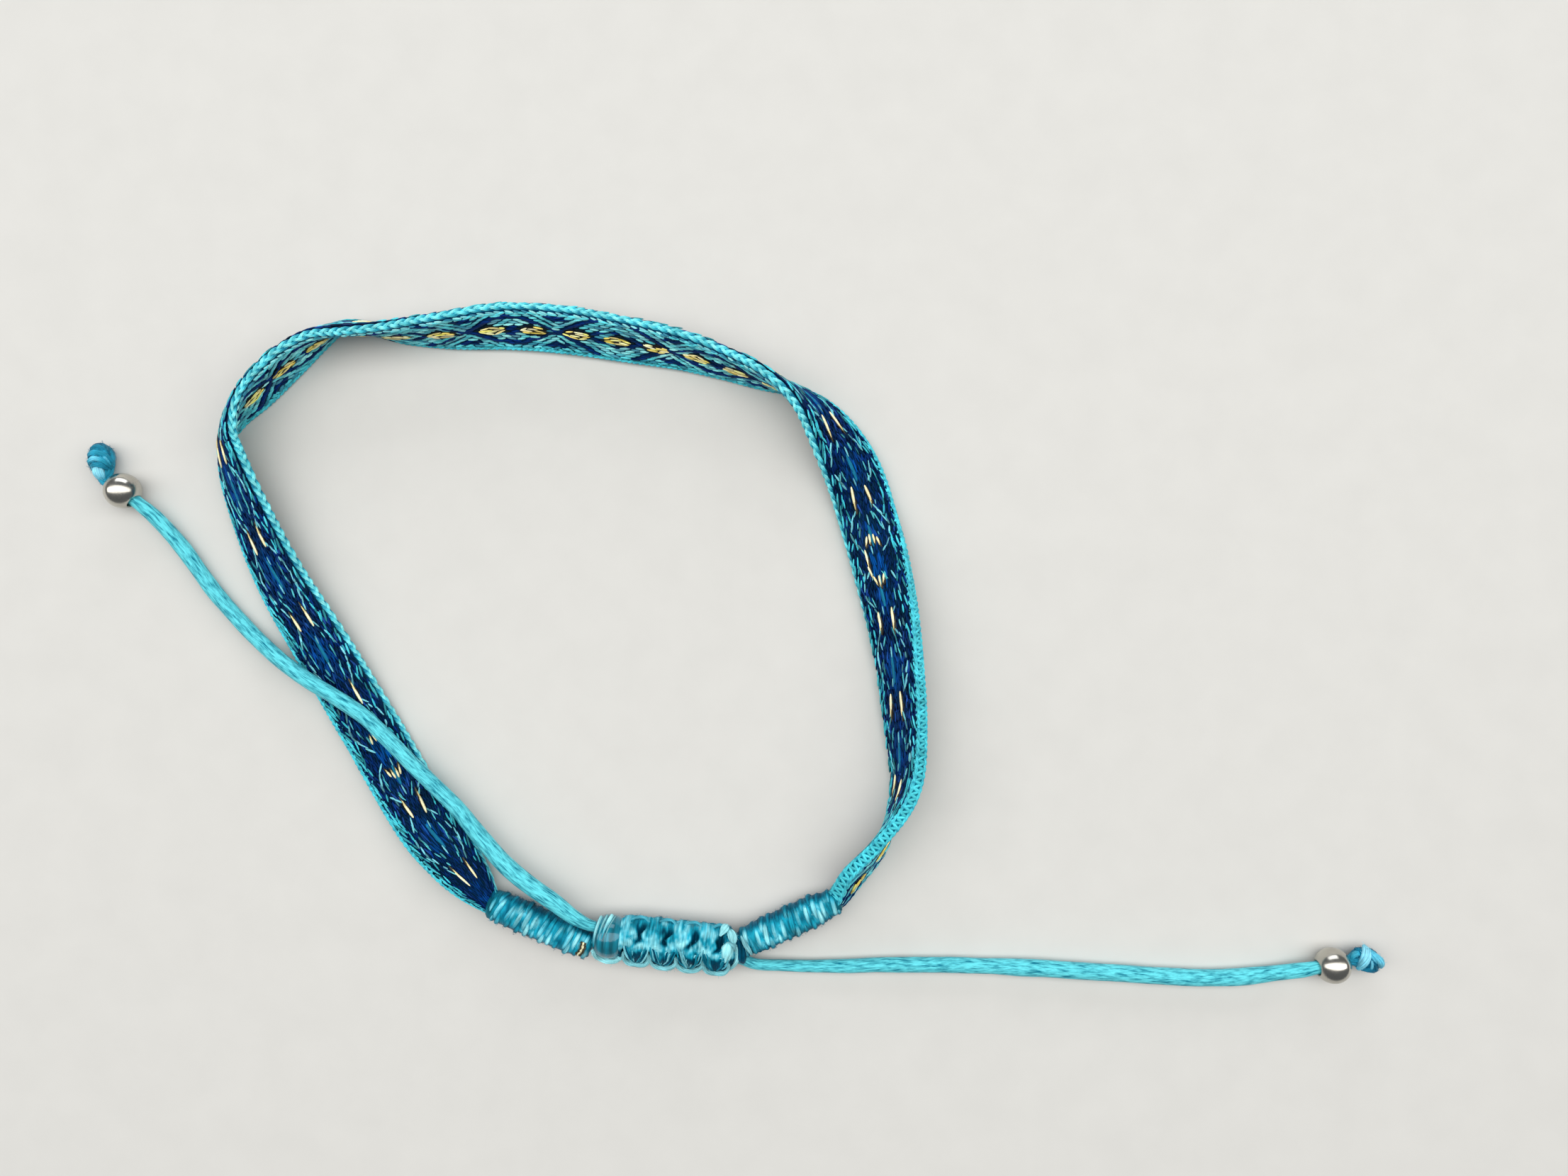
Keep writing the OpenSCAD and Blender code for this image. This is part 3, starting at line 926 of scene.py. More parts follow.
@dataclass
class WovenBand:
    """The woven band: ground cloth, thread floats, gold stitches and the two borders."""

    path: BandPath
    shop: Workshop
    start: float = 1.6
    end: float = 152.2
    ground_w: float = 0.40
    # middles of the gold pairs and of the ringed eyes on the dark face
    pairs: Tuple[float, ...] = (7.3, 14.6, 25.5, 33.2, 41.0, 48.7, 57.4, 66.0, 73.0, 79.6, 86.2,
                                92.9, 100.0, 106.9, 113.5, 124.0, 131.3, 138.5, 146.0)
    eyes: Tuple[float, ...] = (19.8, 118.9)
    # how far a pair or an eye reaches along the band
    motif: float = 3.6
    # gold clusters and lattice of the light face
    clusters: Tuple[float, ...] = (61.0, 64.6, 68.2, 72.0, 76.3, 79.8, 83.5, 87.0, 90.3, 93.9, 97.5)
    cluster_step: float = 3.56
    lattice: float = 17.8
    lens_start: float = 73.9
    lens_length: float = 7.9
    # stretch of the twist where the navy comes up to the plait
    bare: Tuple[float, float] = (59.8, 66.8)
    # stretches where the overcast border is only the lace over the edge
    narrow: Tuple[Tuple[float, float], ...] = ((30.0, 59.0), (90.0, 134.0))
    # the flecks are thick on the dark face from here on
    flecked: float = 90.0
    # the borders' cores start here across the band
    border: float = 2.3
    # from one thread of the dark face to the next, and rows of floats on the light face
    dark_step: float = 0.145
    light_rows: int = 15
    # from one float to the next along the band
    light_step: float = 0.86
    lattice_step: float = 0.5
    edge_step: float = 0.7
    stroke_step: float = 0.52
    lace_step: float = 0.52
    rung: float = 0.27

    def __post_init__(self) -> None:
        """Starts the loop guide and the seeded random numbers."""
        self.loop = self.path.guide()
        self.chance = random.Random(7)
        self.motifs = sorted(self.pairs + self.eyes)
        first, last = self.clusters[0], self.clusters[-1]
        self.all_clusters = sorted([*(first - self.cluster_step * k for k in range(1, 17)),
                                    *self.clusters,
                                    *(last + self.cluster_step * k for k in range(1, 16))])

    def wrapped(self, guide: Item, name: str, finish: str = "thread",
                maker: Optional[str] = None, **inputs: Any) -> Item:
        """Makes flat geometry from a guide and wraps it round the loop.

        Args:
            guide: the flat guide object.
            name: what the piece shows.
            finish: name of its finish.
            maker: tree that makes geometry from the guide first, where there is one.
            inputs: that tree's inputs.

        Returns:
            The piece.
        """
        stages = [self.shop.stage(maker, finish, **inputs)] if maker else []
        stages.append(self.shop.stage("wrap", finish, Loop=self.loop,
                                      Half_width=self.path.width / 2 * MM))
        return modified(guide, stages, f"band_{name}")

    def floats(self, bed: ThreadBed, name: str, rings: int = 4) -> Item:
        """The floats of a bed as a piece of that name."""
        return self.wrapped(bed.guide(), name, "thread", "threads", Segments=6, Rings=rings)

    def sway(self, amount: float) -> float:
        """A random amount to either side."""
        return self.chance.uniform(-amount, amount)

    def lit(self, colour: Dye, *lights: float) -> Dye:
        """A dye in one of the lights."""
        return shade(colour, self.chance.choice(lights))

    def slim(self, s: float) -> bool:
        """Whether the overcast border is only the lace over the edge here."""
        return any(low < s < high for low, high in self.narrow)

    def uncovered(self, s: float) -> bool:
        """Whether the navy comes up to the plait here."""
        return self.bare[0] < s < self.bare[1]

    def away(self, s: float, places: Sequence[float]) -> float:
        """Distance to the nearest of the places."""
        return min(abs(s - place) for place in places)

    def ground(self) -> Item:
        """The closed ribbon of cloth that the floats lie on."""
        half, deep = self.path.width / 2, self.ground_w
        side = [(half - .2, 0.0), (half - .24, .22), (half - .4, .34), (1.9, deep), (.95, deep)]
        section = side + [(0.0, deep)] + [(-x, y) for x, y in reversed(side)]
        section += [(x, -y) for x, y in section[-2:0:-1]]
        count = len(section)
        points, dyes = [], []
        stops = np.arange(0.05, self.path.length, 0.4)
        for s in stops:
            for v, w in section:
                points.append((float(self.path.reach(s)), v, w))
                rim = abs(v) > self.border and not (w > 0.1 and self.uncovered(s))
                dyes.append(RIM if rim else NAVY_DEEP if w > 0 else UNDERSIDE)
        end = (len(stops) - 1) * count
        faces = walled(len(stops), count)
        faces += [tuple(reversed(range(count))), tuple(range(end, end + count))]
        item = mesh_object("guide", points, (), faces, dye=dyes,
                           grain=[(s * 0.4, v, w) for s, v, w in points])
        return outward(self.wrapped(item, "ground"))

    # dark face

    def dark_dye(self, s: float, v: float) -> Tuple[Dye, float]:
        """The dye of a dark-face float and how calm the weave is there.

        Args:
            s: place in the chart.
            v: place across.

        Returns:
            The dye, and 1 in a blue centre down to 0 in the busy navy.
        """
        chance = self.chance
        away = min(self.away(s, self.motifs) / self.motif, 1.0)
        centre = max(0.0, 1.0 - abs(v) / 1.25) * max(0.0, (away - 0.25) / 0.75)
        if self.away(s, self.eyes) < 1.1 and abs(v) < 0.6:
            centre = 1.0
        base = blended(NAVY_DEEP, NAVY, chance.random() ** 1.3 + centre * 0.5)
        if chance.random() < 0.1:
            base = blended(base, DUSK, chance.uniform(0.4, 1.0))
        return blended(base, ROYAL, centre * chance.random() * 1.1), centre

    def dark_floats(self) -> Item:
        """The navy and royal floats of the dark face."""
        bed, chance = ThreadBed(self.path), self.chance
        for row, v in enumerate(marks(-2.1, 2.24, self.dark_step)):
            s = self.start + chance.random()
            while s < self.end:
                colour, calm = self.dark_dye(s, v)
                length = 0.6 + 0.5 * chance.random() + 1.3 * calm * chance.random()
                slant = (1 if row % 2 else -1) * (11 - 9 * calm) + self.sway(8)
                bed.lay(s + length / 2, v + self.sway(0.03),
                        self.ground_w + 0.03 + 0.05 * chance.random(),
                        (length * 1.15, 0.175, 0.17),
                        self.lit(colour, 0.55, 0.8, 1.0, 1.2, 1.7), slant)
                s += length
        return self.floats(bed, "dark_floats")

    def stroke(self, bed: ThreadBed, start: Tuple[float, float], end: Tuple[float, float],
               swell: float, tone: Dye, width: float = 0.16, gaps: float = 0.2) -> None:
        """A chain of small pale floats from one place of the chart to another.

        Args:
            bed: takes the floats.
            start: (s, v) of its start.
            end: (s, v) of its end.
            swell: how far its middle bows out across.
            tone: its dye at full brightness.
            width: width of the floats.
            gaps: share of the floats that dive under the navy.
        """
        chance = self.chance
        span, drift = end[0] - start[0], end[1] - start[1]
        count = max(2, round(abs(span) / self.stroke_step))
        for k in range(count + 1):
            share = k / count
            if chance.random() < gaps:
                continue
            s = start[0] + span * share
            v = start[1] + drift * share + swell * math.sin(math.pi * share)
            slope = (drift + swell * math.pi * math.cos(math.pi * share)) / span
            bed.lay(s + self.sway(0.15), v + self.sway(0.07),
                    self.ground_w + 0.12,
                    (chance.uniform(0.5, 1.15), width * chance.uniform(0.7, 1.3), 0.16),
                    self.lit(tone, 0.35, 0.7, 0.9, 1.1),
                    math.degrees(math.atan(slope)) + self.sway(9))

    def pale_lines(self) -> Item:
        """The ogee lines, the wedges between gold pairs and the flecks beside them."""
        bed, chance = ThreadBed(self.path), self.chance
        for before, after in zip(self.motifs, self.motifs[1:]):
            reach = after - before
            for side in (-1, 1):
                edge = 0.1 + side * 0.9
                self.stroke(bed, (before + 0.9, edge), (after - 0.9, edge), side * 0.72, PALE)
                self.stroke(bed, (before + 1.2, 0.1 + side * 0.5), (after - 1.6, side * 1.0),
                            side * 0.25, GREY_TEAL, 0.12, 0.45)
                self.stroke(bed, (before + 0.2, side * 1.72), (before + 0.36 * reach, side * 1.5),
                            0.0, CYAN, 0.15, 0.35)
                self.stroke(bed, (after - 0.34 * reach, side * 1.5), (after - 0.1, side * 1.75),
                            0.0, CYAN, 0.15, 0.35)
            centre = (before + after) / 2
            # place, size, dye with its least and most light, and the turn's spread and middle
            for ds, v, high, size, tone, low, most, spread, turn in (
                    (.5, .12, .1, (min(3.0, reach * 0.4), .36, .16), TEAL_DEEP, .8, 1.1, 4, 0),
                    (-.9, .05, .15, (1.0, .15, .14), PALE, .6, 1.0, 5, 0),
                    (-1.2, -.45, .13, (.8, .19, .15), GREY_TEAL, .6, 1.0, 0, -6),
                    (1.7, .3, .13, (.8, .13, .15), PALE, .5, .9, 8, 0)):
                bed.lay(centre + ds, v, self.ground_w + high, size,
                        shade(tone, chance.uniform(low, most)),
                        chance.uniform(-spread, spread) if spread else turn)
            for _ in range(7 if before > self.flecked else 1):
                away = chance.choice((-1, 1)) * chance.uniform(0.5, 1.75)
                bed.lay(chance.uniform(before, after), away, self.ground_w + 0.11,
                        (chance.uniform(0.35, 1.0), chance.uniform(0.09, 0.17), 0.15),
                        self.lit(PALE, 0.25, 0.5, 0.8), self.sway(14))
        self.leaves(bed)
        return self.floats(bed, "pale_lines", 5)

    def leaves(self, bed: ThreadBed) -> None:
        """Adds the cyan leaves that reach from both borders into the navy."""
        chance = self.chance
        top = self.ground_w + 0.12
        for side, rim, step, share in ((1, 2.14, 0.55, 0.5), (-1, 1.98, 0.5, 0.85)):
            for s in marks(self.start, self.end, step):
                tone = self.lit(CYAN_BRIGHT, 0.35, 0.55, 0.8, 1.0)
                kept = 0.3 if side < 0 and self.slim(s) else share
                if self.uncovered(s) or chance.random() > kept:
                    continue
                bed.lay(s, side * (rim + self.sway(0.05)), top,
                        (chance.uniform(0.8, 1.3), 0.17, 0.2), tone, side * chance.uniform(4, 20))
                close = 1 - min(self.away(s, self.motifs) / self.motif, 1.0)
                if chance.random() < 0.1 + 0.4 * close:
                    bed.lay(s + 0.2, side * (rim - 0.2 - 0.1 * close), top - 0.02,
                            (chance.uniform(0.6, 0.95), 0.17, 0.17),
                            self.lit(CYAN, 0.35, 0.6, 0.9),
                            side * chance.uniform(6, 24))

    # light face

    def lattice_half(self, s: float) -> Tuple[float, float]:
        """How far the lattice line lies from the middle of the light face, and its slope.

        Args:
            s: place in the chart.

        Returns:
            The distance across, and the slope: up to the apex, then down.
        """
        into = (s - self.lens_start) % self.lattice
        if into < self.lens_length:
            half, reach, top = self.lens_length / 2, into, 1.55
        else:
            half = (self.lattice - self.lens_length) / 2
            reach, top = into - self.lens_length, 2.3
        share = reach / half if reach < half else 2 - reach / half
        rise = math.sin(share * math.pi / 2) ** 1.15
        return top * rise, (top / half) * (1 if reach < half else -1) * (1.3 - share)

    def inner_half(self, s: float) -> float:
        """Distance from the middle of the small inner diamond, or -1 where there is none."""
        into = (s - self.lens_start) % self.lattice
        gap = abs(into - self.lens_length - (self.lattice - self.lens_length) / 2)
        return 0.95 * (1 - gap / 2.6) if gap < 2.6 else -1.0

    def light_dye(self, s: float, v: float) -> Dye:
        """The dye of a light-face float: grey-teal, navy on the lattice, painted shadow under the
        gold.

        Args:
            s: place in the chart.
            v: place across.

        Returns:
            The dye.
        """
        chance = self.chance
        line, inner = self.lattice_half(s)[0], self.inner_half(s)
        near = self.away(s, self.all_clusters)
        into = (s - self.lens_start) % self.lattice
        eye = abs(into - self.lens_length / 2) < 0.7 and abs(v) < 0.55
        navy = abs(abs(v) - line) < 0.2 or (line < 0.5 and 1.2 < abs(v) < 1.7) or eye
        rim = min(1.0, max(0.0, (abs(v) - 1.0) / 0.8))
        tone = blended(blended(GREY_TEAL, TEAL_LIT, chance.random() ** 1.5), CYAN_BRIGHT,
                       rim * 0.6)
        tone = blended(tone, TEAL_NIGHT, chance.choice((0.0, 0.0, 0.12, 0.4, 0.7)))
        tone = shade(tone, chance.uniform(0.95, 1.25))
        if navy or (inner > 0.1 and abs(abs(v) - inner) < 0.17):
            tone = self.lit(NAVY, 0.5, 0.8, 1.2)
        # painted shadow: floats under and beside the gold clusters turn near-black
        if near < 1.25 and abs(v) < 0.62 * (1 - (near / 1.5) ** 2):
            tone = shade(GOLD_SHADOW, chance.uniform(0.6, 1.6))
        return tone

    def light_floats(self) -> Item:
        """The grey-teal flecks, the navy lattice and the painted shadow of the dark beds under the
        gold.
        """
        bed, chance = ThreadBed(self.path), self.chance
        for row in range(self.light_rows):
            v = -1.93 + 3.9 * row / (self.light_rows - 1)
            for s in marks(self.start + (0.44 if row % 2 else 0), self.end, self.light_step):
                slope, tone = self.lattice_half(s)[1], self.light_dye(s, v)
                turn = math.copysign(math.degrees(math.atan(slope)), slope * (v if v else 1))
                bed.lay(s + self.sway(0.06), v, self.ground_w + 0.04,
                        (chance.uniform(0.75, 1.1), 0.235, 0.25), tone,
                        0.6 * turn + self.sway(13), 0, self.sway(30),
                        Face.LIGHT)
        for s in marks(self.start, self.end, self.lattice_step):
            line, slope = self.lattice_half(s)
            for side in (-1, 1):
                if line < 1.95 and chance.random() < 0.86:
                    bed.lay(s, side * line + self.sway(0.06), self.ground_w + 0.09,
                            (0.85, 0.25, 0.2), self.lit(NAVY, 0.5, 0.8, 1.2),
                            side * math.degrees(math.atan(slope)), face=Face.LIGHT)
        for s in marks(self.start, self.end, self.edge_step):
            for v, turn in ((2.06, -24), (1.86, 18)):
                bed.lay(s + chance.uniform(0.0, 0.2), v, self.ground_w, (0.82, 0.2, 0.22),
                        blended(CYAN_LIT, TEAL_DEEP, chance.choice((0.1, 0.3, 0.5, 0.9))),
                        turn + self.sway(8), face=Face.LIGHT)
        return self.floats(bed, "light_floats")

    # gold

    def gold_dash(self, bed: ThreadBed, s: float, v: float, length: float, turn: float,
                  width: float = 0.28) -> None:
        """One gold stitch: a dark bed and a brown tail, both painted shadow, and a cream crown.

        Args:
            bed: takes the floats.
            s: its middle in the chart.
            v: its place across.
            length: its length.
            turn: its angle from the band's length.
            width: its width.
        """
        chance, w = self.chance, self.ground_w + 0.13
        slope = math.tan(math.radians(turn))
        # painted shadow: the near-black bed round the stitch and the brown tail under its crown
        bed.lay(s + 0.1, v - 0.04, w - 0.05, (length * 1.15, width * 1.8, 0.16), GOLD_SHADOW, turn)
        bed.lay(s + length * 0.14, v + slope * length * 0.14, w,
                (length * 0.95, width * 0.85, 0.2), shade(GOLD_BROWN, chance.uniform(0.8, 1.3)),
                turn)
        bed.lay(s - length * 0.12, v - slope * length * 0.12, w + 0.04,
                (length * 0.8, width, 0.22), blended(GOLD, GOLD_LIT, chance.uniform(0.6, 1.0)),
                turn + self.sway(3))
        bed.lay(s + length * 0.2, v + slope * length * 0.2 + 0.03, w + 0.05,
                (length * 0.42, width * 0.5, 0.18), shade(GOLD, chance.uniform(0.8, 1.2)), turn)

    def gold(self) -> Item:
        """The gold stitches of both faces, with the painted shadow of the dark beds under them."""
        bed, chance = ThreadBed(self.path), self.chance
        for place in self.pairs:
            for side in (-1, 1):
                self.gold_dash(bed, place + self.sway(0.25), 0.12 + side * 0.68,
                               chance.uniform(1.8, 2.4), side * 3 + self.sway(4))
        for place in self.eyes:
            for ds, v, length, turn in EYE_STITCHES:
                self.gold_dash(bed, place + ds, v, length, turn, 0.22)
        for number, place in enumerate(self.all_clusters):
            flip = 1 if number % 2 else -1
            # painted shadow: a near-black bed under each cluster
            bed.lay(place, 0, self.ground_w + 0.1, (2.45, 0.94, 0.16), GOLD_SHADOW, face=Face.LIGHT)
            for ds, v, length, turn in CLUSTER_STITCHES:
                if chance.random() < 0.08:
                    continue
                colour = blended(GOLD_YELLOW, GOLD_LIT, chance.random() ** 1.4)
                bed.lay(place + ds + self.sway(0.08),
                        flip * v + self.sway(0.04), self.ground_w + 0.17,
                        (length * chance.uniform(0.85, 1.15), chance.uniform(0.13, 0.2), 0.18),
                        self.lit(colour, 0.65, 1.0, 1.2),
                        flip * turn + self.sway(12), face=Face.LIGHT)
        return self.wrapped(bed.guide(), "gold", "gold", "threads",
                            Segments=8, Rings=6, Taper=0.2, Bow=0.15)

    # borders

    def plait(self) -> Item:
        """The three-strand plait over one edge."""
        skein = Skein()
        stops = np.arange(self.start, self.end, 0.1)
        for strand in range(3):
            angle = TAU * (stops / 2.75 + strand / 3) + 0.35 * np.sin(stops * 0.9)
            v = 2.35 + 0.08 * np.sin(2 * angle)
            w = 0.22 * np.sin(angle)
            # lighter where each strand crosses over and deep where it dives under the others:
            # painted highlight and painted shade
            tone = 0.8 + 0.8 * np.sin(2 * angle + 0.4) + 0.2 * np.sin(stops * 5.3 + strand)
            skein.add(np.stack([self.path.reach(stops), v, w], 1), 0.15,
                      [climbed((TEAL_DEEP, CYAN_BRIGHT, CYAN_LIT), 1, float(t), 1, 1)
                       for t in tone])
        return self.wrapped(skein.guide(), "plait", "thread", "yarn", Plies=5, Ply_share=0.42,
                            Spread=0.62, Twist=0.0024, Sides=6, Step=0.0003)

    def ladder(self) -> Item:
        """The overcast border: rungs over the edge, lace on the dark face, rope on the light."""
        bed, chance = ThreadBed(self.path), self.chance
        for number, s in enumerate(marks(self.start, self.end, self.rung)):
            bed.lay(s, -2.42, 0.0, (0.94, 0.26, 0.28),
                    shade(CYAN_BRIGHT, chance.uniform(0.7, 1.1)), 0, 70 if number % 2 else 110)
        for number, s in enumerate(marks(self.start, self.end, self.lace_step)):
            lace = ((-2.04, 30, 0.5), (-2.18, -26, 0.6), (-2.32, 24, 0.6))
            if self.slim(s):
                lace = ((-2.16, 20, 0.5), (-2.3, -26, 0.6))
            elif self.uncovered(s):
                lace = ()
            for v, turn, length in lace:
                bed.lay(s + self.sway(0.1), v + self.sway(0.03), 0.42,
                        (length, 0.17, 0.18),
                        self.lit(CYAN_BRIGHT, 0.65, 0.9, 1.1, 1.2),
                        (-turn if number % 2 else turn) + self.sway(12))
            for v, turn in ((-2.12, -24), (-2.32, 20)):
                bed.lay(s + chance.uniform(0.0, 0.3), v, self.ground_w, (0.62, 0.2, 0.2),
                        self.lit(CYAN_BRIGHT, 0.4, 0.75, 1.0), turn,
                        face=Face.LIGHT)
        return self.floats(bed, "ladder")

    def rails(self) -> Item:
        """The two cords that the overcast rungs run between."""
        skein = Skein()
        stops = np.arange(self.start, self.end, 0.12)
        for w in (-0.38, 0.38):
            v = -2.38 + 0.03 * np.sin(math.pi * stops / self.rung)
            tone = 0.9 + 0.45 * np.sin(math.pi * stops / self.rung + 4 * w)
            tone += 0.3 * np.sin(stops * 3.1)
            hidden = (w > 0) & (stops > self.bare[0]) & (stops < self.bare[1])
            skein.add(np.stack([self.path.reach(stops), v, 0 * v + w], 1), 0.16,
                      [NAVY if dark else blended(TEAL_DEEP, CYAN_BRIGHT, float(t))
                       for t, dark in zip(tone, hidden)])
        return self.wrapped(skein.guide(), "rails", "thread", "yarn", Plies=2, Ply_share=0.6,
                            Spread=0.45, Twist=0.001, Sides=6, Step=0.0002)

    def build(self) -> List[Item]:
        """Makes every piece of the band."""
        pieces = [self.ground(), self.dark_floats(), self.pale_lines(), self.light_floats(),
                  self.gold(), self.plait(), self.ladder(), self.rails()]
        bpy.data.objects.remove(self.loop)
        return [dressed(piece, "woven_band", "woven_band") for piece in pieces]


# whippings

@dataclass
class Whipping:
    """A thread-wound end of the band: turns of floss on a smooth core, with a collar."""

    node: str
    place: Placement
    shop: Workshop
    seed: int
    neck: float
    slim: float
    gilt: bool = False
    length: float = 9.0
    crown: float = 1.42
    turns: float = 11.5
    steps_a_turn: int = 30
    girth: float = 0.38
    # how far the middle of the floss lies under the crown, and how far its turns stray
    sunk: float = 0.34
    stray: float = 0.28

    def swell(self, along: float) -> float:
        """Outer radius of the winding at a place from its mouth."""
        share = along / self.length
        narrow = max(0.0, (share - 0.8) / 0.2) ** 1.5 * self.neck
        return self.crown - 0.06 * share - narrow - self.slim * max(0.0, 1 - along / 2.4) ** 1.4

    def winding(self) -> Item:
        """The wound floss."""
        chance = random.Random(self.seed)
        waves = [(chance.uniform(0.4, 2.6), chance.random() * TAU) for _ in range(5)]
        steps = int(self.turns * self.steps_a_turn)
        rows = []
        for i in range(steps + 1):
            share = i / steps
            angle = TAU * self.turns * share
            wobble = sum(math.sin(w * angle / 3 + p) for w, p in waves) / 5
            along = 0.15 + (self.length - 0.3) * share + self.stray * wobble
            radius = self.swell(along) - self.sunk + 0.06 * math.sin(angle * 0.37 + self.seed)
            rows.append((along, radius * math.cos(angle), radius * math.sin(angle)))
        skein = Skein()
        skein.add(self.place.move(rows), self.girth, CERULEAN)
        name = f"{self.node}_winding"
        item = modified(skein.guide(), [self.shop.stage(
            "yarn", "yarn", Plies=3, Ply_share=0.56, Spread=0.5, Twist=0.0037, Sides=9,
            Step=0.00014)], name)
        # paints highlight and shade into the floss's dye
        self.tint(item)
        return modified(item, [self.shop.stage("fuzz", "yarn", Density=7.0e6, Seed=self.seed)],
                        name)

    def tone(self, along: Any, angle: Any, crest: Any, rise: Any) -> np.ndarray:
        """Painted highlight and shade of the floss: light on the crowns and at the top, painted
        shade deep between the turns and low on the sides.

        Args:
            along: places from the mouth.
            angle: angles round the whipping.
            crest: 0 in the gaps up to 1 on the crowns.
            rise: height share, 1 at the top.

        Returns:
            One dye for each place.
        """
        # painted highlight on the crowns in patches, painted shade between the turns, and painted
        # top light: darker low on the sides
        patch = 0.5 + 0.5 * np.sin(along * 2.3 + self.seed) * np.sin(angle * 2 + along * 1.1)
        lit = 0.18 + 0.82 * np.clip((rise - 0.5) / 0.35, 0, 1)
        share = np.clip(crest * (0.3 + 0.8 * patch) * lit, 0, 1)[:, None]
        low, mid, high = (np.array(c) for c in (CERULEAN_DARK, CERULEAN, CERULEAN_LIT))
        return np.where(share < 0.35, low + (mid - low) * share / 0.35,
                        mid + (high - mid) * (share - 0.35) / 0.65)

    def tint(self, item: Item) -> None:
        """Paints highlight and shade into the wound floss's dye, by where each point of it lies."""
        own = self.place.own(spots_of(item).astype(float) / MM)
        along, depth = own[:, 0], np.hypot(own[:, 1], own[:, 2])
        outer = np.array([self.swell(float(a)) for a in along])
        colours = self.tone(along, np.arctan2(own[:, 2], own[:, 1]),
                            np.clip((depth - outer + 0.2) / 0.22, 0, 1), own[:, 2] / outer)
        item.data.attributes.remove(item.data.attributes["dye"])
        marked(item, dye=colours)

    def core(self) -> Item:
        """The bundle under the turns, with the smooth collar at the mouth."""
        profile = [(-0.35, 0.0), (-0.35, 0.6), (-0.2, 0.94), (0.1, self.swell(0.0) - 0.04),
                   (0.5, self.swell(0.4) - 0.02), (0.85, self.swell(0.8) - 0.12)]
        profile += [(a, self.swell(a) - 0.1) for a in np.linspace(1.1, self.length - 0.2, 60)]
        end = self.swell(self.length) - 0.1
        profile += [(self.length, end), (self.length + 0.25, end * 0.85),
                    (self.length + 0.35, 0.0)]

        def colour(along: float, angle: float) -> Dye:
            """Deep on the collar; under the turns patchy teal, with the floss's painted highlight
            at the top and painted shade low on the sides.
            """
            crest = 0.42 + 0.5 * noise.noise((along * 2.2, angle * 1.5, self.seed))
            wound = self.tone(*(np.array([value]) for value in
                                (along, angle, crest, math.sin(angle))))[0]
            return blended(shade(CERULEAN, 0.45), tuple(wound), (along - 0.4) / 0.4)

        return self.shop.coated(
            revolved(f"{self.node}_core", profile, 48, self.place, colour), "yarn")

    def gilt_end(self) -> Item:
        """The end of a gold thread that shows at the last turn."""
        skein = Skein()
        for shift, girth, tone in ((0.0, 0.11, GOLD_LIT), (0.18, 0.1, GOLD_BROWN),
                                   (-0.16, 0.09, GOLD_BROWN)):
            line = smoothed([(8.5 + shift, 0.45, 1.22), (8.62 + shift, 0.1, 1.32),
                             (8.6 + shift, -0.35, 1.27), (8.45 + shift, -0.75, 1.02)], 8)
            skein.add(self.place.move(line), girth,
                      [shade(tone, 0.35 + 0.65 * math.sin(i * 0.6) ** 2)
                       for i in range(len(line))])
        return modified(skein.guide(), [self.shop.stage(
            "yarn", "gold", Plies=2, Ply_share=0.7, Spread=0.4, Twist=0.0008, Sides=8,
            Step=0.00008)], f"{self.node}_gilt")

    def build(self) -> List[Item]:
        """Makes the whipping as one piece."""
        parts = [self.winding(), self.core()] + ([self.gilt_end()] if self.gilt else [])
        piece = rested(joined(f"{self.node}_yarn", parts))
        return [dressed(piece, self.node, "whipping_thread")]


# sliding knot

# guide lines on the knot, from a cup's middle: x, y, z and, for the crescent, what its drop
# is divided by, or for the fine strands how far x and y step from one to the next
CRESCENT = ((1.04, -.85, 1.2, 3), (1.08, -1.4, .85, 1), (.72, -1.95, .42, 1),
            (0, -2.12, .25, 1))
BACK_FOLD = ((-.85, 1.62, .6), (-.45, 1.93, .5), (.05, 2.03, .45), (.5, 1.93, .5), (.9, 1.62, .6))
FINE_FOLD = ((1.12, .1, 1.58, .1, .09), (1.04, -.5, 1.58, .13, 0), (.8, -1.08, 1.36, .1, 0),
             (.45, -1.55, .96, .05, 0), (.14, -1.86, .5, .02, 0))
# lightness, then x, y, z and girth of each fold at the knot's right end
END_FOLDS = (
    (1.15, ((5.3, .85, 1.3, .08), (5.32, .45, 1.42, .5), (5.35, 0, 1.45, .44),
            (5.34, -.6, 1.32, .25), (5.3, -1.3, .95, .06))),
    (1.15, ((4.6, 1.3, 1, .1), (4.85, 1.75, 1, .3), (5, 2.05, .9, .34), (5.1, 2.1, .6, .08))),
    (1.0, ((5.1, 1.75, .6, .08), (5.5, 1.6, .95, .34), (5.75, 1.2, 1.1, .38),
           (5.9, .8, 1.1, .08))),
    (0.6, ((5.2, .85, 1.3, .08), (5.6, .75, 1.35, .24), (5.95, .35, 1.1, .24), (6.1, 0, .8, .06))),
    (0.85, ((5.8, .9, 1.1, .06), (6.15, .3, 1.15, .18), (6.25, -.5, .95, .2), (6, -1.2, .7, .16),
            (5.6, -1.7, .4, .06))),
    (0.6, ((6.35, 1.4, .75, .06), (6.75, .85, 1, .2), (7.2, .3, 1, .18), (7.45, -.1, .75, .06))),
    (0.0, ((6, 1.2, .6, .08), (6.35, .4, .9, .4), (6.6, -.4, .8, .4), (6.8, -1, .3, .1))))
# loose turns on the wrap: place along, girth, lightness, lean and end angle
LOOSE_TURNS = ((-5.85, .14, .85, .25, 2.0), (-5.5, .09, .6, .4, 1.7), (-5.2, .16, 1.0, .5, 1.45),
               (-4.95, .06, .5, .55, 1.9))
LEFT_FOLD = ((-5.9, -1.1, .9), (-5.7, -1.62, .5), (-5.2, -1.98, .2), (-4.6, -2.1, .1),
             (-4, -1.95, .25), (-3.6, -1.5, .7))


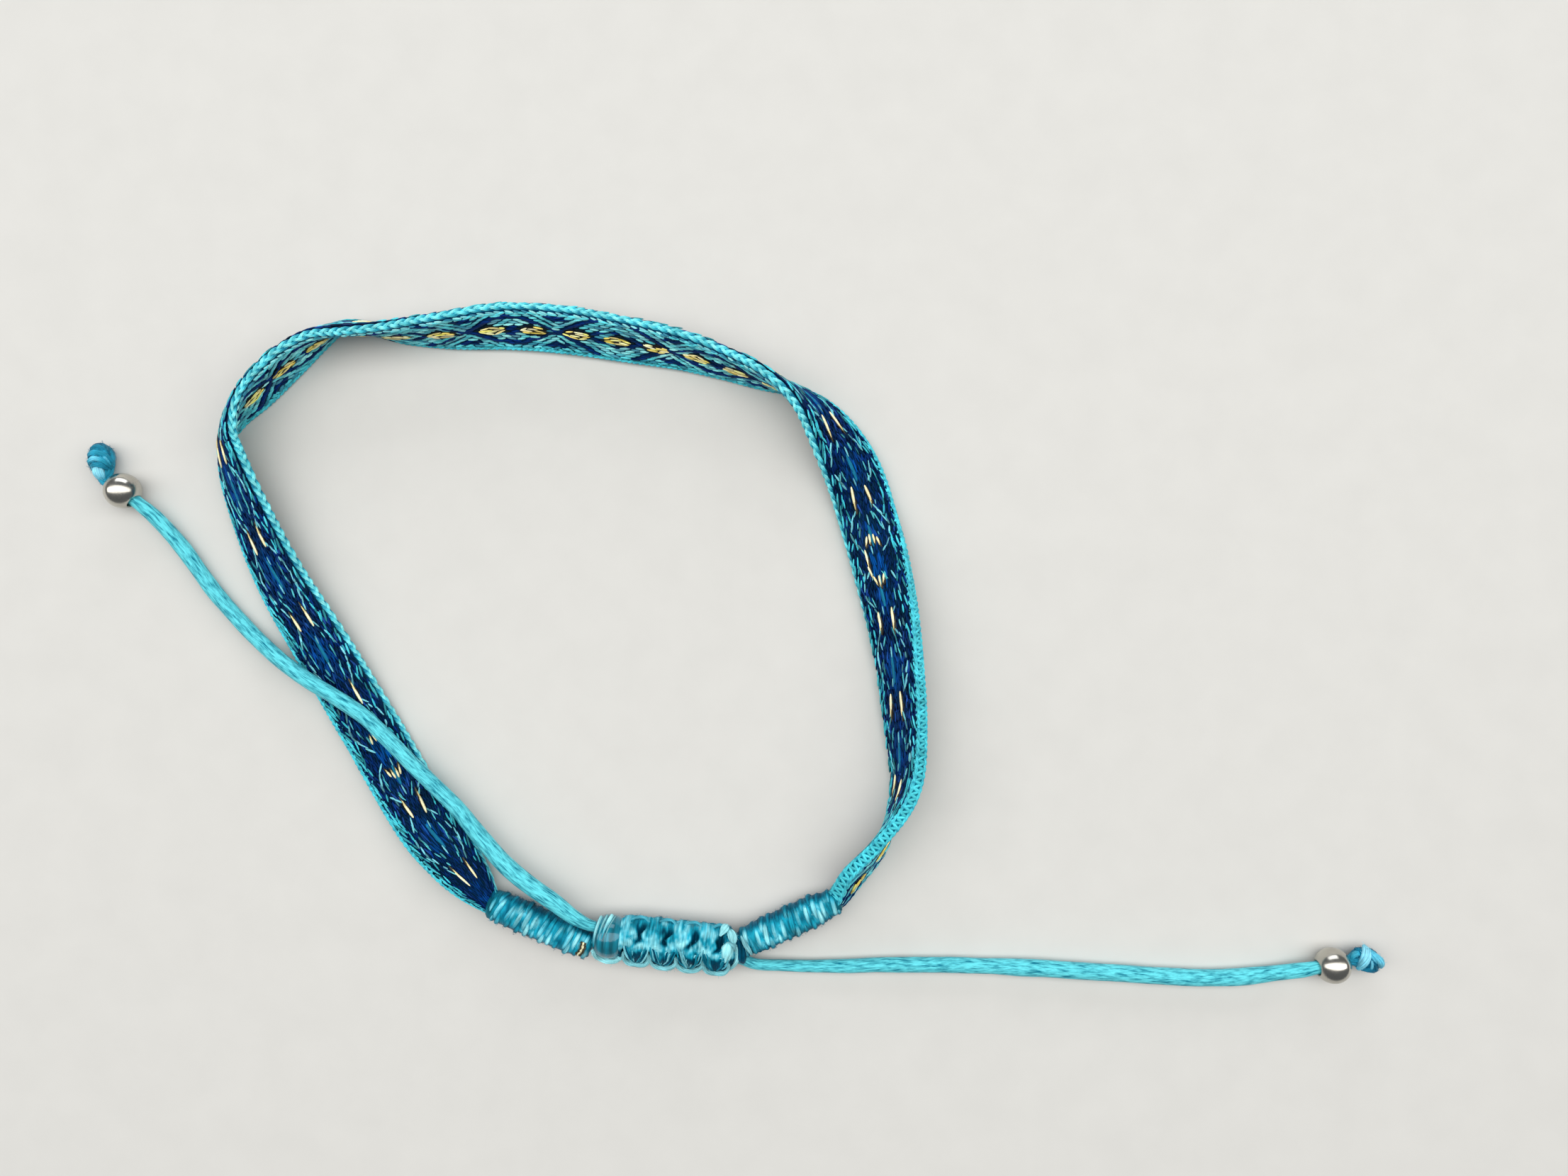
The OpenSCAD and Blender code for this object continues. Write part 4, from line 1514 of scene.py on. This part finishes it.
@dataclass
class SlidingKnot:
    """The square-knot closure: loops low on one side, bars over the top and V strands."""

    shop: Workshop
    place: Placement = KNOT_SEAT
    pitch: float = 2.25
    lobes: Tuple[float, ...] = (-2.25, 0.0, 2.25, 4.5)
    wide: float = 1.84
    tall: float = 1.5
    wrap_middle: float = -4.76
    wrap_half: float = 1.36

    def dents(self, along: float, across: float) -> Tuple[float, float, float]:
        """How deep a place lies in the pockets, in the folds between cups, and on the bars.

        Args:
            along: place along the knot.
            across: place across it, towards the far side.

        Returns:
            Shares of pocket, fold and bar, each 0 to 1.
        """
        def rise(value: float, start: float, soft: float) -> float:
            """A soft step up."""
            return 1 / (1 + math.exp(-(value - start) / soft))

        pocket = sum(math.exp(-((along - c - 0.1 - (0.25 if n % 2 else 0.4) * (across - 0.75)
                                 - 0.13 * math.sin(4 * across + 2 * n))
                                / (0.2 + 0.07 * math.sin(5 * across + n))) ** 2)
                     for n, c in enumerate(self.lobes))
        pocket *= rise(across, 0.05, 0.12) * rise(-across, -1.6, 0.08)
        folds = [c - self.pitch / 2 for c in self.lobes]
        fold = sum(math.exp(-((along - c) / 0.15) ** 2) for c in folds) * rise(-across, 0.75, 0.1)
        bar = sum(math.exp(-((along - c) / 1.0) ** 4) for c in folds) * rise(across, -0.5, 0.2)
        return pocket, fold, bar

    def relief(self, along: float, angle: float) -> float:
        """Bars, pockets, cups and folds, as growth of the radius."""
        oval = 1 / math.hypot(math.cos(angle) / self.wide, math.sin(angle) / self.tall) - self.tall
        pocket, fold, bar = self.dents(along, self.wide * math.cos(angle))
        cups = math.cos(TAU * along / self.pitch) * max(0.0, -math.cos(angle))
        lumps = noise.noise((1.7 * along, 2.2 * angle, 0.5))
        lumps += 0.5 * noise.noise((4.5 * along, 3.5 * angle, 9.5))
        grown = oval + 0.12 * bar - 0.7 * pocket - 0.4 * fold + 0.06 * cups + 0.12 * lumps
        return grown * min(1.0, max(0.0, (6.1 - along) / 0.9), max(0.0, (along + 3.95) / 0.5))

    def colour(self, along: float, angle: float) -> Dye:
        """Painted highlight on the bars and along the top, painted shade in the pockets and folds,
        on the near side and underneath.
        """
        across = self.wide * math.cos(angle)
        pocket, fold, bar = self.dents(along, across)
        # painted highlight on the bars and along the top; painted shade on the near side
        tone = 0.35 + 0.1 * bar + 0.14 * math.exp(-((across + 0.1) / 0.45) ** 2)
        tone -= 0.45 / (1 + math.exp((across + 0.75) / 0.15))
        tone += 0.36 * noise.noise((1.5 * along, 1.6 * across, 2.5))
        tone += 0.34 * noise.noise((4.2 * along, 2.8 * across, 7.5))
        # painted shade in the pockets and in the folds between cups
        tone -= 0.85 * pocket + 0.4 * fold
        # painted shade underneath: the lower half is kept dark
        if math.sin(angle) < 0:
            tone = min(tone, 0.25)
        return climbed((shade(CERULEAN_DARK, 0.7), CERULEAN, CERULEAN_LIT), 0.35, tone,
                       1 / 0.35, 1 / 0.6)

    def body(self) -> List[Item]:
        """The soft body of the knot and the smooth wrap at its left."""
        profile = [(-5.2, 0.0), (-5.2, 0.9)]
        profile += [(x, self.tall) for x in np.arange(-4.9, 5.2, 0.06)]
        profile += [(5.2 + 1.1 * math.sin(a), self.tall * math.cos(a) ** 0.8)
                    for a in np.linspace(0.05, 1.35, 14)] + [(6.3, 0.0)]
        core = self.shop.coated(
            revolved("knot_core", profile, 88, self.place, self.colour, self.relief), "floss")
        core = modified(core, [self.shop.stage("fuzz", "floss", Density=9.0e6, Seed=2)],
                        "knot_body")
        profile = [(self.wrap_middle - self.wrap_half * math.cos(a), self.wide * math.sin(a) ** 0.5)
                   for a in np.linspace(0, math.pi, 33)]
        wrap = revolved("knot_wrap", profile, 64, self.place, lambda along, angle: shade(
            CERULEAN, 0.5 + 0.22 * math.sin(9 * along) * math.sin(angle)),
            lambda along, angle: 0.012 * math.sin(along * 34) * math.sin(angle))
        return [core, self.shop.coated(wrap, "gloss")]

    def cup(self, skein: Skein, fine: Skein, centre: float, chance: random.Random) -> None:
        """Adds the strands of one cup: its crescent, its folds and the rim over its pocket.

        Args:
            skein: takes the thick strands.
            fine: takes the thin ones.
            centre: the cup's middle along the knot.
            chance: random numbers for small differences.
        """
        def drift(rows: Sequence[Point], amount: float = 0.05) -> np.ndarray:
            """The smooth line through the points, each moved a little."""
            moved = [tuple(c + chance.uniform(-amount, amount) for c in row) for row in rows]
            return smoothed(moved, 6)

        def spindle(count: int, thick: float, thin: float) -> List[float]:
            """Radii that swell to the middle of a strand."""
            return [thin + (thick - thin) * math.sin(math.pi * i / (count - 1)) ** 0.7
                    for i in range(count)]

        def thread(rows: Sequence[Point], thick: float, thin: float, tone: Dye) -> None:
            """One thick strand, a little darker than its dye."""
            line = drift(rows)
            skein.add(line, spindle(len(line), thick, thin), shade(tone, chance.uniform(.85, 1)))

        crescent = [(-x, *rest) for x, *rest in CRESCENT] + list(CRESCENT[-2::-1])
        # the upper crescent is lighter and the lowest deep: painted highlight and painted shade by
        # height
        for drop, thick, share in ((0.0, 0.22, 0.75), (-0.42, 0.19, 0), (-0.85, 0.22, -1)):
            thread([(centre + x, y, z + drop / part) for x, y, z, part in crescent], thick, 0.1,
                   blended(CERULEAN, CERULEAN_LIT, share) if share >= 0 else CERULEAN_DARK)
        # likewise for the back folds: painted highlight on the top one, painted shade on the lowest
        for drop, thick, share in ((0.0, 0.13, 0.2), (-0.36, 0.2, 0), (-0.8, 0.22, -1)):
            thread([(centre + x, y + 0.6 * drop, z + drop) for x, y, z in BACK_FOLD], thick, 0.08,
                   blended(CERULEAN, CERULEAN_LIT, share) if share >= 0 else CERULEAN_DARK)
        for side in (-1, 1):
            for k in range(7):
                line = drift([(centre + side * (x - dx * k), y - dy * k, z - 0.03 * k)
                              for x, y, z, dx, dy in FINE_FOLD], 0.08)
                tone = chance.uniform(-0.8, 0.7)
                fine.add(line, spindle(len(line), chance.uniform(0.05, 0.1), 0.02),
                         blended(CERULEAN, CERULEAN_LIT, tone) if tone > 0 else
                         blended(CERULEAN, CERULEAN_DARK, -tone * 1.6))

    def strands(self) -> Item:
        """Every strand that lies on the body."""
        chance = random.Random(3)
        skein, fine = Skein(), Skein()
        for centre in self.lobes:
            self.cup(skein, fine, centre, chance)
        for along, girth, tone, lean, end in LOOSE_TURNS:
            ring, girths, tones = [], [], []
            for a in np.linspace(0.15, end, 26):
                x = along + lean * math.cos(a) ** 2 * (1 if a < TAU / 4 else 0.6)
                out = 1 - ((x - self.wrap_middle) / self.wrap_half) ** 2
                radius = self.wide * math.sqrt(max(0.0, out)) ** 0.5 + 0.01
                ring.append((x, radius * math.cos(a), radius * math.sin(a)))
                girths.append(girth * min(1.0, 0.2 + (end - a)))
                tones.append(blended(CERULEAN, shade(CERULEAN_LIT, tone), 1.3 * (end - 0.1 - a)))
            fine.add(ring, girths, tones)
        skein.add(smoothed(LEFT_FOLD, 8), 0.22, CERULEAN_LIT)
        for tone, rows in END_FOLDS:
            line = smoothed(rows, 8)
            skein.add(line[:, :3], line[:, 3], blended(CERULEAN_DARK, CERULEAN_LIT, tone))
        for lines in skein.points + fine.points:
            lines[:] = self.place.move(lines)
        thick = modified(skein.guide(), [
            self.shop.stage("yarn", "floss", Plies=5, Ply_share=0.5, Spread=0.56, Twist=0.007,
                            Sides=6, Step=0.00016),
            self.shop.stage("fuzz", "floss", Density=4.0e6, Seed=6)], "knot_strands")
        thin = modified(fine.guide(), [
            self.shop.stage("yarn", "floss", Plies=1, Ply_share=1.0, Spread=0.0, Twist=0.006,
                            Sides=8, Step=0.00015)], "knot_folds")
        return joined("knot_strands", [thick, thin])

    def build(self) -> List[Item]:
        """Makes the knot as one piece."""
        piece = rested(joined("sliding_knot_strands", [self.strands()] + self.body()))
        return [dressed(piece, "sliding_knot", "knot_cord")]


# cords and their ends

@dataclass
class SatinCord:
    """A free satin cord, from inside its whipping through the knot to its end."""

    name: str
    shop: Workshop
    seat: Placement
    side: int
    free: Rows
    seed: int
    diameter: float = 1.3
    sides: int = 24
    # share of the full girth inside the whipping and the knot
    tight: float = 0.9 / 1.3
    # places along the whipping that the root runs through, and where the cord leaves it
    rooted: Tuple[float, ...] = (4.6, 6.2, 7.8)
    leaves: float = 8.6
    # the channel in the knot: places along it, and how far it lies off the middle
    channel: Tuple[float, ...] = (6, 3, 0, -3, -6)
    aside: float = 0.65
    uneven: float = 0.05
    rib: float = 0.012

    def __post_init__(self) -> None:
        """Works out the route as in the solid: x, y, z and share of the full diameter."""
        root = self.seat.move([(along, 0, 0) for along in self.rooted])
        inside = KNOT_SEAT.move([(self.side * along, self.side * self.aside, 0)
                                 for along in self.channel])
        self.route = [(*row, self.tight) for row in (*root, *inside)]
        self.route += [(x, y, z, share or self.tight) for x, y, z, share in self.free]

    def mesh(self) -> Item:
        """The cord as a closed tube with a UV map of its length and girth."""
        rows = smoothed(self.route, 12)
        middle, share = rows[:, :3], rows[:, 3]
        head = np.gradient(middle, axis=0)
        head /= np.linalg.norm(head, axis=1)[:, None]
        side = np.cross(head, (0, 0, 1))
        side /= np.linalg.norm(side, axis=1)[:, None]
        rise = np.cross(side, head)
        run = measured(middle)
        chance = random.Random(self.seed)
        waves = [(chance.uniform(0.25, 2.4), chance.random() * TAU, chance.randint(1, 3))
                 for _ in range(6)]
        points, count = [], self.sides
        for i, centre in enumerate(middle):
            for k in range(count):
                angle = TAU * k / count
                rough = sum(math.sin(w * run[i] + p + n * angle) for w, p, n in waves) / 6
                ribs = math.sin(6 * angle + 2.2 * run[i]) * math.sin(6 * angle - 2.2 * run[i])
                r = self.diameter / 2 * share[i] * (1 + self.uneven * rough + self.rib * ribs)
                points.append(centre + r * (math.cos(angle) * side[i] + math.sin(angle) * rise[i]))
        faces = walled(len(middle), count)
        points += [middle[0], middle[-1]]
        end = (len(middle) - 1) * count
        for k in range(count):
            faces.append((len(points) - 2, (k + 1) % count, k))
            faces.append((len(points) - 1, end + k, end + (k + 1) % count))
        item = mesh_object(f"{self.name}_satin", points, (), faces)
        lay = item.data.uv_layers.new(name="lay")
        for face in item.data.polygons:
            for corner in face.loop_indices:
                place = item.data.loops[corner].vertex_index
                ring = min(place // count, len(middle) - 1)
                turn = (place % count) / count
                if place < len(middle) * count and face.index % count == count - 1 and turn == 0:
                    turn = 1.0
                lay.data[corner].uv = (run[ring], turn)
        item.data.shade_smooth()
        return outward(item)

    def build(self) -> Item:
        """Makes the cord and dresses it."""
        return dressed(self.shop.coated(self.mesh(), "cord"), self.name, "satin_cord")

    def declare(self, piece: Item, carried: Sequence[Item]) -> None:
        """Works out the length of the cord's route and where it leaves its whipping, and keeps
        neither.
        """
        line = smoothed(self.route, 4)[:, :3] * MM
        leaves = self.seat.move([(self.leaves, 0, 0)])[0] * MM
        float(measured(line)[-1])
        list(carried)


@dataclass
class MetalBead:
    """A small drilled ball with rounded lips at its bore."""

    node: str
    shop: Workshop
    place: Placement
    radius: float = 1.5
    bore: float = 0.6
    rows: int = 33
    sides: int = 64

    def build(self) -> Item:
        """Makes the bead."""
        edge = math.asin((self.bore + 0.1) / self.radius)
        ring = [(-self.radius * math.cos(a), self.radius * math.sin(a))
                for a in np.linspace(edge, math.pi - edge, self.rows)]
        lip = self.radius * math.cos(edge)
        inner = [(lip - 0.03, self.bore + 0.03), (lip - 0.12, self.bore)]
        ring += inner + [(-x, r) for x, r in reversed(inner)]
        turns = [TAU * k / self.sides for k in range(self.sides)]
        points = [(x, r * math.cos(a), r * math.sin(a)) for x, r in ring for a in turns]
        piece = mesh_object(f"{self.node}_ball", self.place.move(points), (),
                            walled(len(ring), self.sides, closed=True))
        piece.data.shade_smooth()
        return dressed(self.shop.coated(outward(piece), "steel"), self.node, "bead_metal")


@dataclass
class EndKnot:
    """The knotted end of a cord, tied from the cord itself."""

    node: str
    shop: Workshop
    place: Placement
    guides: Sequence[Rows]

    def build(self) -> Item:
        """Makes the knot from its guide lines."""
        skein = Skein()
        for guide in self.guides:
            rows = smoothed(guide, 8)
            # the lightness paints highlight and shade onto the cord's dye
            skein.add(self.place.move(rows[:, :3]), rows[:, 3],
                      [climbed((CORD_DEEP, CORD_BLUE, CORD_PALE), 0.625, light, 1.6, 1.7)
                       for light in rows[:, 4]])
        piece = modified(skein.guide(), [
            self.shop.stage("yarn", "tied", Plies=6, Ply_share=0.46, Spread=0.6, Twist=0.009,
                            Sides=7, Step=0.00012),
            self.shop.stage("fuzz", "tied", Density=8.0e6, Seed=4)], f"{self.node}_tied")
        return dressed(rested(piece), self.node, "satin_cord")


# the free part of each cord: x, y, z and share of the full diameter, 0 where it is squeezed
LEFT_FREE = (
    (.8, -23.65, 2.4, .9), (-1, -22.3, 2.4, 1.1), (-3.2, -20.8, 2.3, 1.15),
    (-5.4, -19, 2.1, 1.15), (-7.4, -16.8, 2, 1.1), (-9.2, -14.6, 1.9, 1.05),
    (-11.1, -12.7, 1.9, 1), (-13.2, -10.7, 1.9, 1), (-15.2, -8.6, 1.9, 1), (-17.2, -6.7, 1.9, 1),
    (-19.5, -5.1, 1.9, 1), (-21.8, -3.7, 1.95, 1), (-24.2, -2.1, 1.6, 1), (-26.4, -.4, 1, 1),
    (-28.5, 1.6, .7, 1), (-30.4, 3.8, .7, 1), (-32.1, 6.1, .7, 1), (-33.7, 8.3, .8, 1),
    (-35.4, 10.3, 1.1, .95), (-36.8, 11.6, 1.4, .84), (-38, 12.6, 1.5, .84), (-38.9, 13.6, 1.5, 0))
RIGHT_FREE = (
    (16, -27.9, 1.1, .72), (18.2, -28.1, .8, .75), (20.8, -28.2, .7, .8), (23.6, -28.2, .7, .9),
    (26.6, -28.1, .7, .95), (29.6, -28.1, .7, 1), (32.6, -28.1, .7, 1), (35.6, -28.2, .7, 1),
    (38.8, -28.3, .75, 1.1), (42.2, -28.5, .75, 1.1), (45.4, -28.7, .75, 1.1),
    (48.6, -28.9, .75, 1.1), (51.8, -29.1, .75, 1.1), (54.8, -29.2, .75, 1.1),
    (57.8, -29.1, .75, 1.1), (60.4, -28.8, .8, 1), (62.6, -28.4, 1.2, .95),
    (63.8, -28.1, 1.45, .84), (65.2, -27.9, 1.5, .84), (66.6, -27.7, 1.5, 0))

# guides of the end knots: x, y, z, radius and lightness about the knot's middle; the lightness is
# painted highlight on the raised strands and painted shade low down on the one cord
LEFT_TIE = (
    ((-.35, 1.6, 0, .2, .1), (-.27, 1.3, 0, .62, .15), (-.12, .8, 0, .92, .3),
     (.05, .2, 0, .98, .35), (.12, -.4, 0, .8, .4), (.16, -1, 0, .66, .5), (.3, -1.5, .1, .5, .4),
     (.6, -1.75, .2, .4, .4)),
    ((-.95, -.3, .1, .14, .3), (-.7, .05, .65, .2, .55), (-.1, .25, 1, .22, .9),
     (.6, 0, .8, .22, .5), (1.05, -.5, .3, .14, .3)),
    ((-1, .2, .1, .14, .2), (-.7, .6, .6, .22, .35), (-.1, .75, .9, .24, .5),
     (.6, .55, .7, .22, .35), (1.05, 0, .3, .16, .3)),
    ((-.95, .7, 0, .12, .1), (-.6, 1.1, .4, .22, .2), (-.1, 1.25, .6, .24, .3),
     (.4, 1.05, .5, .22, .2), (.8, .6, .3, .14, .15)),
    ((.35, .7, .72, .08, .7), (.7, .3, .78, .12, .8), (.95, -.2, .55, .1, .6),
     (1, -.6, .3, .05, .5)),
    ((-.75, -.6, .2, .14, .2), (-.4, -.35, .7, .22, .35), (.2, -.3, .85, .24, .4),
     (.75, -.6, .5, .16, .2)),
    ((-.1, -.3, .65, .16, .8), (0, -.7, .62, .48, 1.2), (.16, -1.1, .5, .46, 1.05),
     (.4, -1.5, .35, .18, .7)))
RIGHT_TIE = (
    ((-1.75, -.1, .3, .4, .3), (-1.2, -.05, .2, .5, .3), (-.6, 0, 0, .8, .15),
     (0, .05, 0, .92, .1), (.5, -.25, -.1, .85, .1), (.9, -.5, -.2, .5, .2),
     (1.25, -.6, -.2, .2, .3)),
    ((-.3, 1.25, .3, .12, 1.1), (-.25, .9, .6, .34, 1.2), (-.35, .4, .85, .42, 1.15),
     (-.6, -.2, .75, .36, 1), (-.85, -.75, .4, .16, .8)),
    ((-.15, 1, .4, .14, .8), (.25, .55, .75, .32, .8), (.7, .15, .7, .38, .85),
     (1.05, -.25, .4, .4, .9), (1.2, -.65, .1, .2, .6)),
    ((-.95, .85, .1, .12, .1), (-.75, .75, .4, .3, .15), (-.65, .35, .5, .3, .1),
     (-.9, -.1, .3, .15, .1)),
    ((-1.45, .05, .5, .1, .4), (-1.25, .5, .6, .22, .7), (-.9, .6, .55, .24, .6),
     (-.75, .25, .5, .1, .4)),
    ((-.45, -.85, .2, .14, .2), (0, -.7, .5, .3, .15), (.5, -.75, .4, .34, .1),
     (.95, -.85, .1, .16, .3)),
    ((.1, .2, .85, .06, 1), (.2, -.25, .82, .12, .9), (.15, -.7, .72, .1, .8),
     (0, -1, .4, .05, .5)))


# studio

@dataclass
class Studio:
    """Camera straight above, a pale floor and soft light from the far side."""

    middle: Tuple[float, float] = (0.0184, 0.0043)
    height: float = 0.102
    photo_width: int = 2212
    focal_px: float = 1662.0
    sensor: float = 36.0
    nearest: float = 0.005
    floor_half: float = 900
    floor_drop: float = -0.02

    def camera(self) -> None:
        """The camera at the photograph's angle."""
        data = bpy.data.cameras.new("camera")
        data.sensor_fit = "HORIZONTAL"
        data.sensor_width = self.sensor
        data.lens = self.focal_px * self.sensor / self.photo_width
        data.clip_start = self.nearest
        item = placed_object("camera", data)
        item.location = (*self.middle, self.height)
        bpy.context.scene.camera = item

    def floor(self, shop: Workshop) -> None:
        """The plain floor."""
        corners = [(x * self.floor_half, y * self.floor_half, self.floor_drop)
                   for x, y in ((-1, -1), (1, -1), (1, 1), (-1, 1))]
        shop.coated(mesh_object("floor", corners, (), [(0, 1, 2, 3)]), "paper")

    def light(self, name: str, at: Point, size: Tuple[float, float], power: float,
              tint: Dye) -> None:
        """One soft box aimed at the bracelet.

        Args:
            name: name of the light.
            at: its place in metres.
            size: its two sides in metres.
            power: its power in watts.
            tint: its colour.
        """
        data = bpy.data.lights.new(name, "AREA")
        data.shape = "RECTANGLE"
        data.size, data.size_y = size
        data.energy = power
        data.color = tint[:3]
        item = placed_object(name, data)
        item.location = at
        aim = Vector((*self.middle, 0)) - Vector(at)
        item.rotation_euler = aim.to_track_quat("-Z", "Y").to_euler()

    def world(self, tint: Dye, strength: float) -> None:
        """Even fill from all round."""
        made = bpy.data.worlds.new("room")
        made.use_nodes = True
        made.node_tree.nodes.clear()
        graph = Graph(made.node_tree)
        back = graph.wire("ShaderNodeBackground", {"Color": tint, "Strength": strength})
        graph.node("ShaderNodeOutputWorld", {"Surface": back})
        bpy.context.scene.world = made

    def build(self, shop: Workshop) -> None:
        """Sets the floor and the lights."""
        self.floor(shop)
        self.light("strip", (0.018, 0.05, 0.4), (2.4, 0.34), 6.8, dye(255, 252, 248))
        self.light("window", (0.0, 0.45, 0.16), (0.5, 0.2), 0.8, dye(250, 252, 255))
        self.world(dye(214, 220, 226), 0.22)
        bpy.context.scene.view_settings.view_transform = "Standard"


def finishes() -> Dict[str, Finish]:
    """The finishes of the bracelet and of the floor, by name."""
    return {
        "thread": ThreadFinish("thread_satin"),
        "gold": ThreadFinish("thread_gold", roughness=0.3, metallic=0.12, contrast=0.35,
                             glint=(1.0, 0.97, 0.84, 1.0)),
        "yarn": ThreadFinish("yarn_cerulean", contrast=0.75, fibre_bump=0.7, fibre_scale=4.0,
                             ring_scale=1.3),
        "floss": ThreadFinish("knot_floss", roughness=0.62, contrast=0.6, fibre_bump=0.9,
                              fibre_scale=6.0, ring_scale=1.3),
        "gloss": ThreadFinish("wrap_gloss", roughness=0.3, contrast=0.4, coat=1.0,
                              ring_scale=1.3),
        "tied": ThreadFinish("tied_satin", roughness=0.45, contrast=0.7, fibre_bump=0.9,
                             ring_scale=2.2),
        "cord": SatinFinish("satin_cord", dye(106, 222, 234), dye(10, 112, 138)),
        "steel": SteelFinish("bead_steel", dye(196, 193, 184)),
        "paper": PaperFinish("floor_paper", dye(208, 208, 205)),
    }


def main() -> None:
    """Builds the bracelet piece by piece."""
    logging.basicConfig(level=logging.INFO, format="%(name)s: %(message)s")
    studio = Studio()
    studio.camera()
    shop = Workshop({"threads": thread_tree(), "yarn": yarn_tree(), "fuzz": fuzz_tree(),
                     "wrap": wrap_tree()},
                    {name: finish.material() for name, finish in finishes().items()})
    ends = (
        (SatinCord("left_cord", shop, RIGHT_SEAT, 1, LEFT_FREE, 11),
         MetalBead("left_bead", shop, Placement((-38.0, 12.6, 1.5), 135)),
         EndKnot("left_end_knot", shop, Placement((-40.0, 15.05, 1.05)), LEFT_TIE)),
        (SatinCord("right_cord", shop, LEFT_SEAT, -1, RIGHT_FREE, 12),
         MetalBead("right_bead", shop, Placement((65.2, -27.9, 1.5), 9)),
         EndKnot("right_end_knot", shop, Placement((68.2, -27.45, 1.05)), RIGHT_TIE)),
    )
    pieces: List[Item] = []
    for cord, bead, knot in ends:
        made, carried = cord.build(), [bead.build(), knot.build()]
        cord.declare(made, carried)
        pieces += [made] + carried
    for maker in (WovenBand(BandPath(), shop),
                  Whipping("left_whipping", LEFT_SEAT, shop, 5, neck=0.2, slim=0.14, gilt=True),
                  Whipping("right_whipping", RIGHT_SEAT, shop, 8, neck=0.3, slim=0.36),
                  SlidingKnot(shop)):
        pieces += maker.build()
    studio.build(shop)
    for piece in pieces:
        log.info("%s: %d triangles", piece.name,
                 sum(len(face.vertices) - 2 for face in piece.data.polygons))


if __name__ == "__main__":
    main()
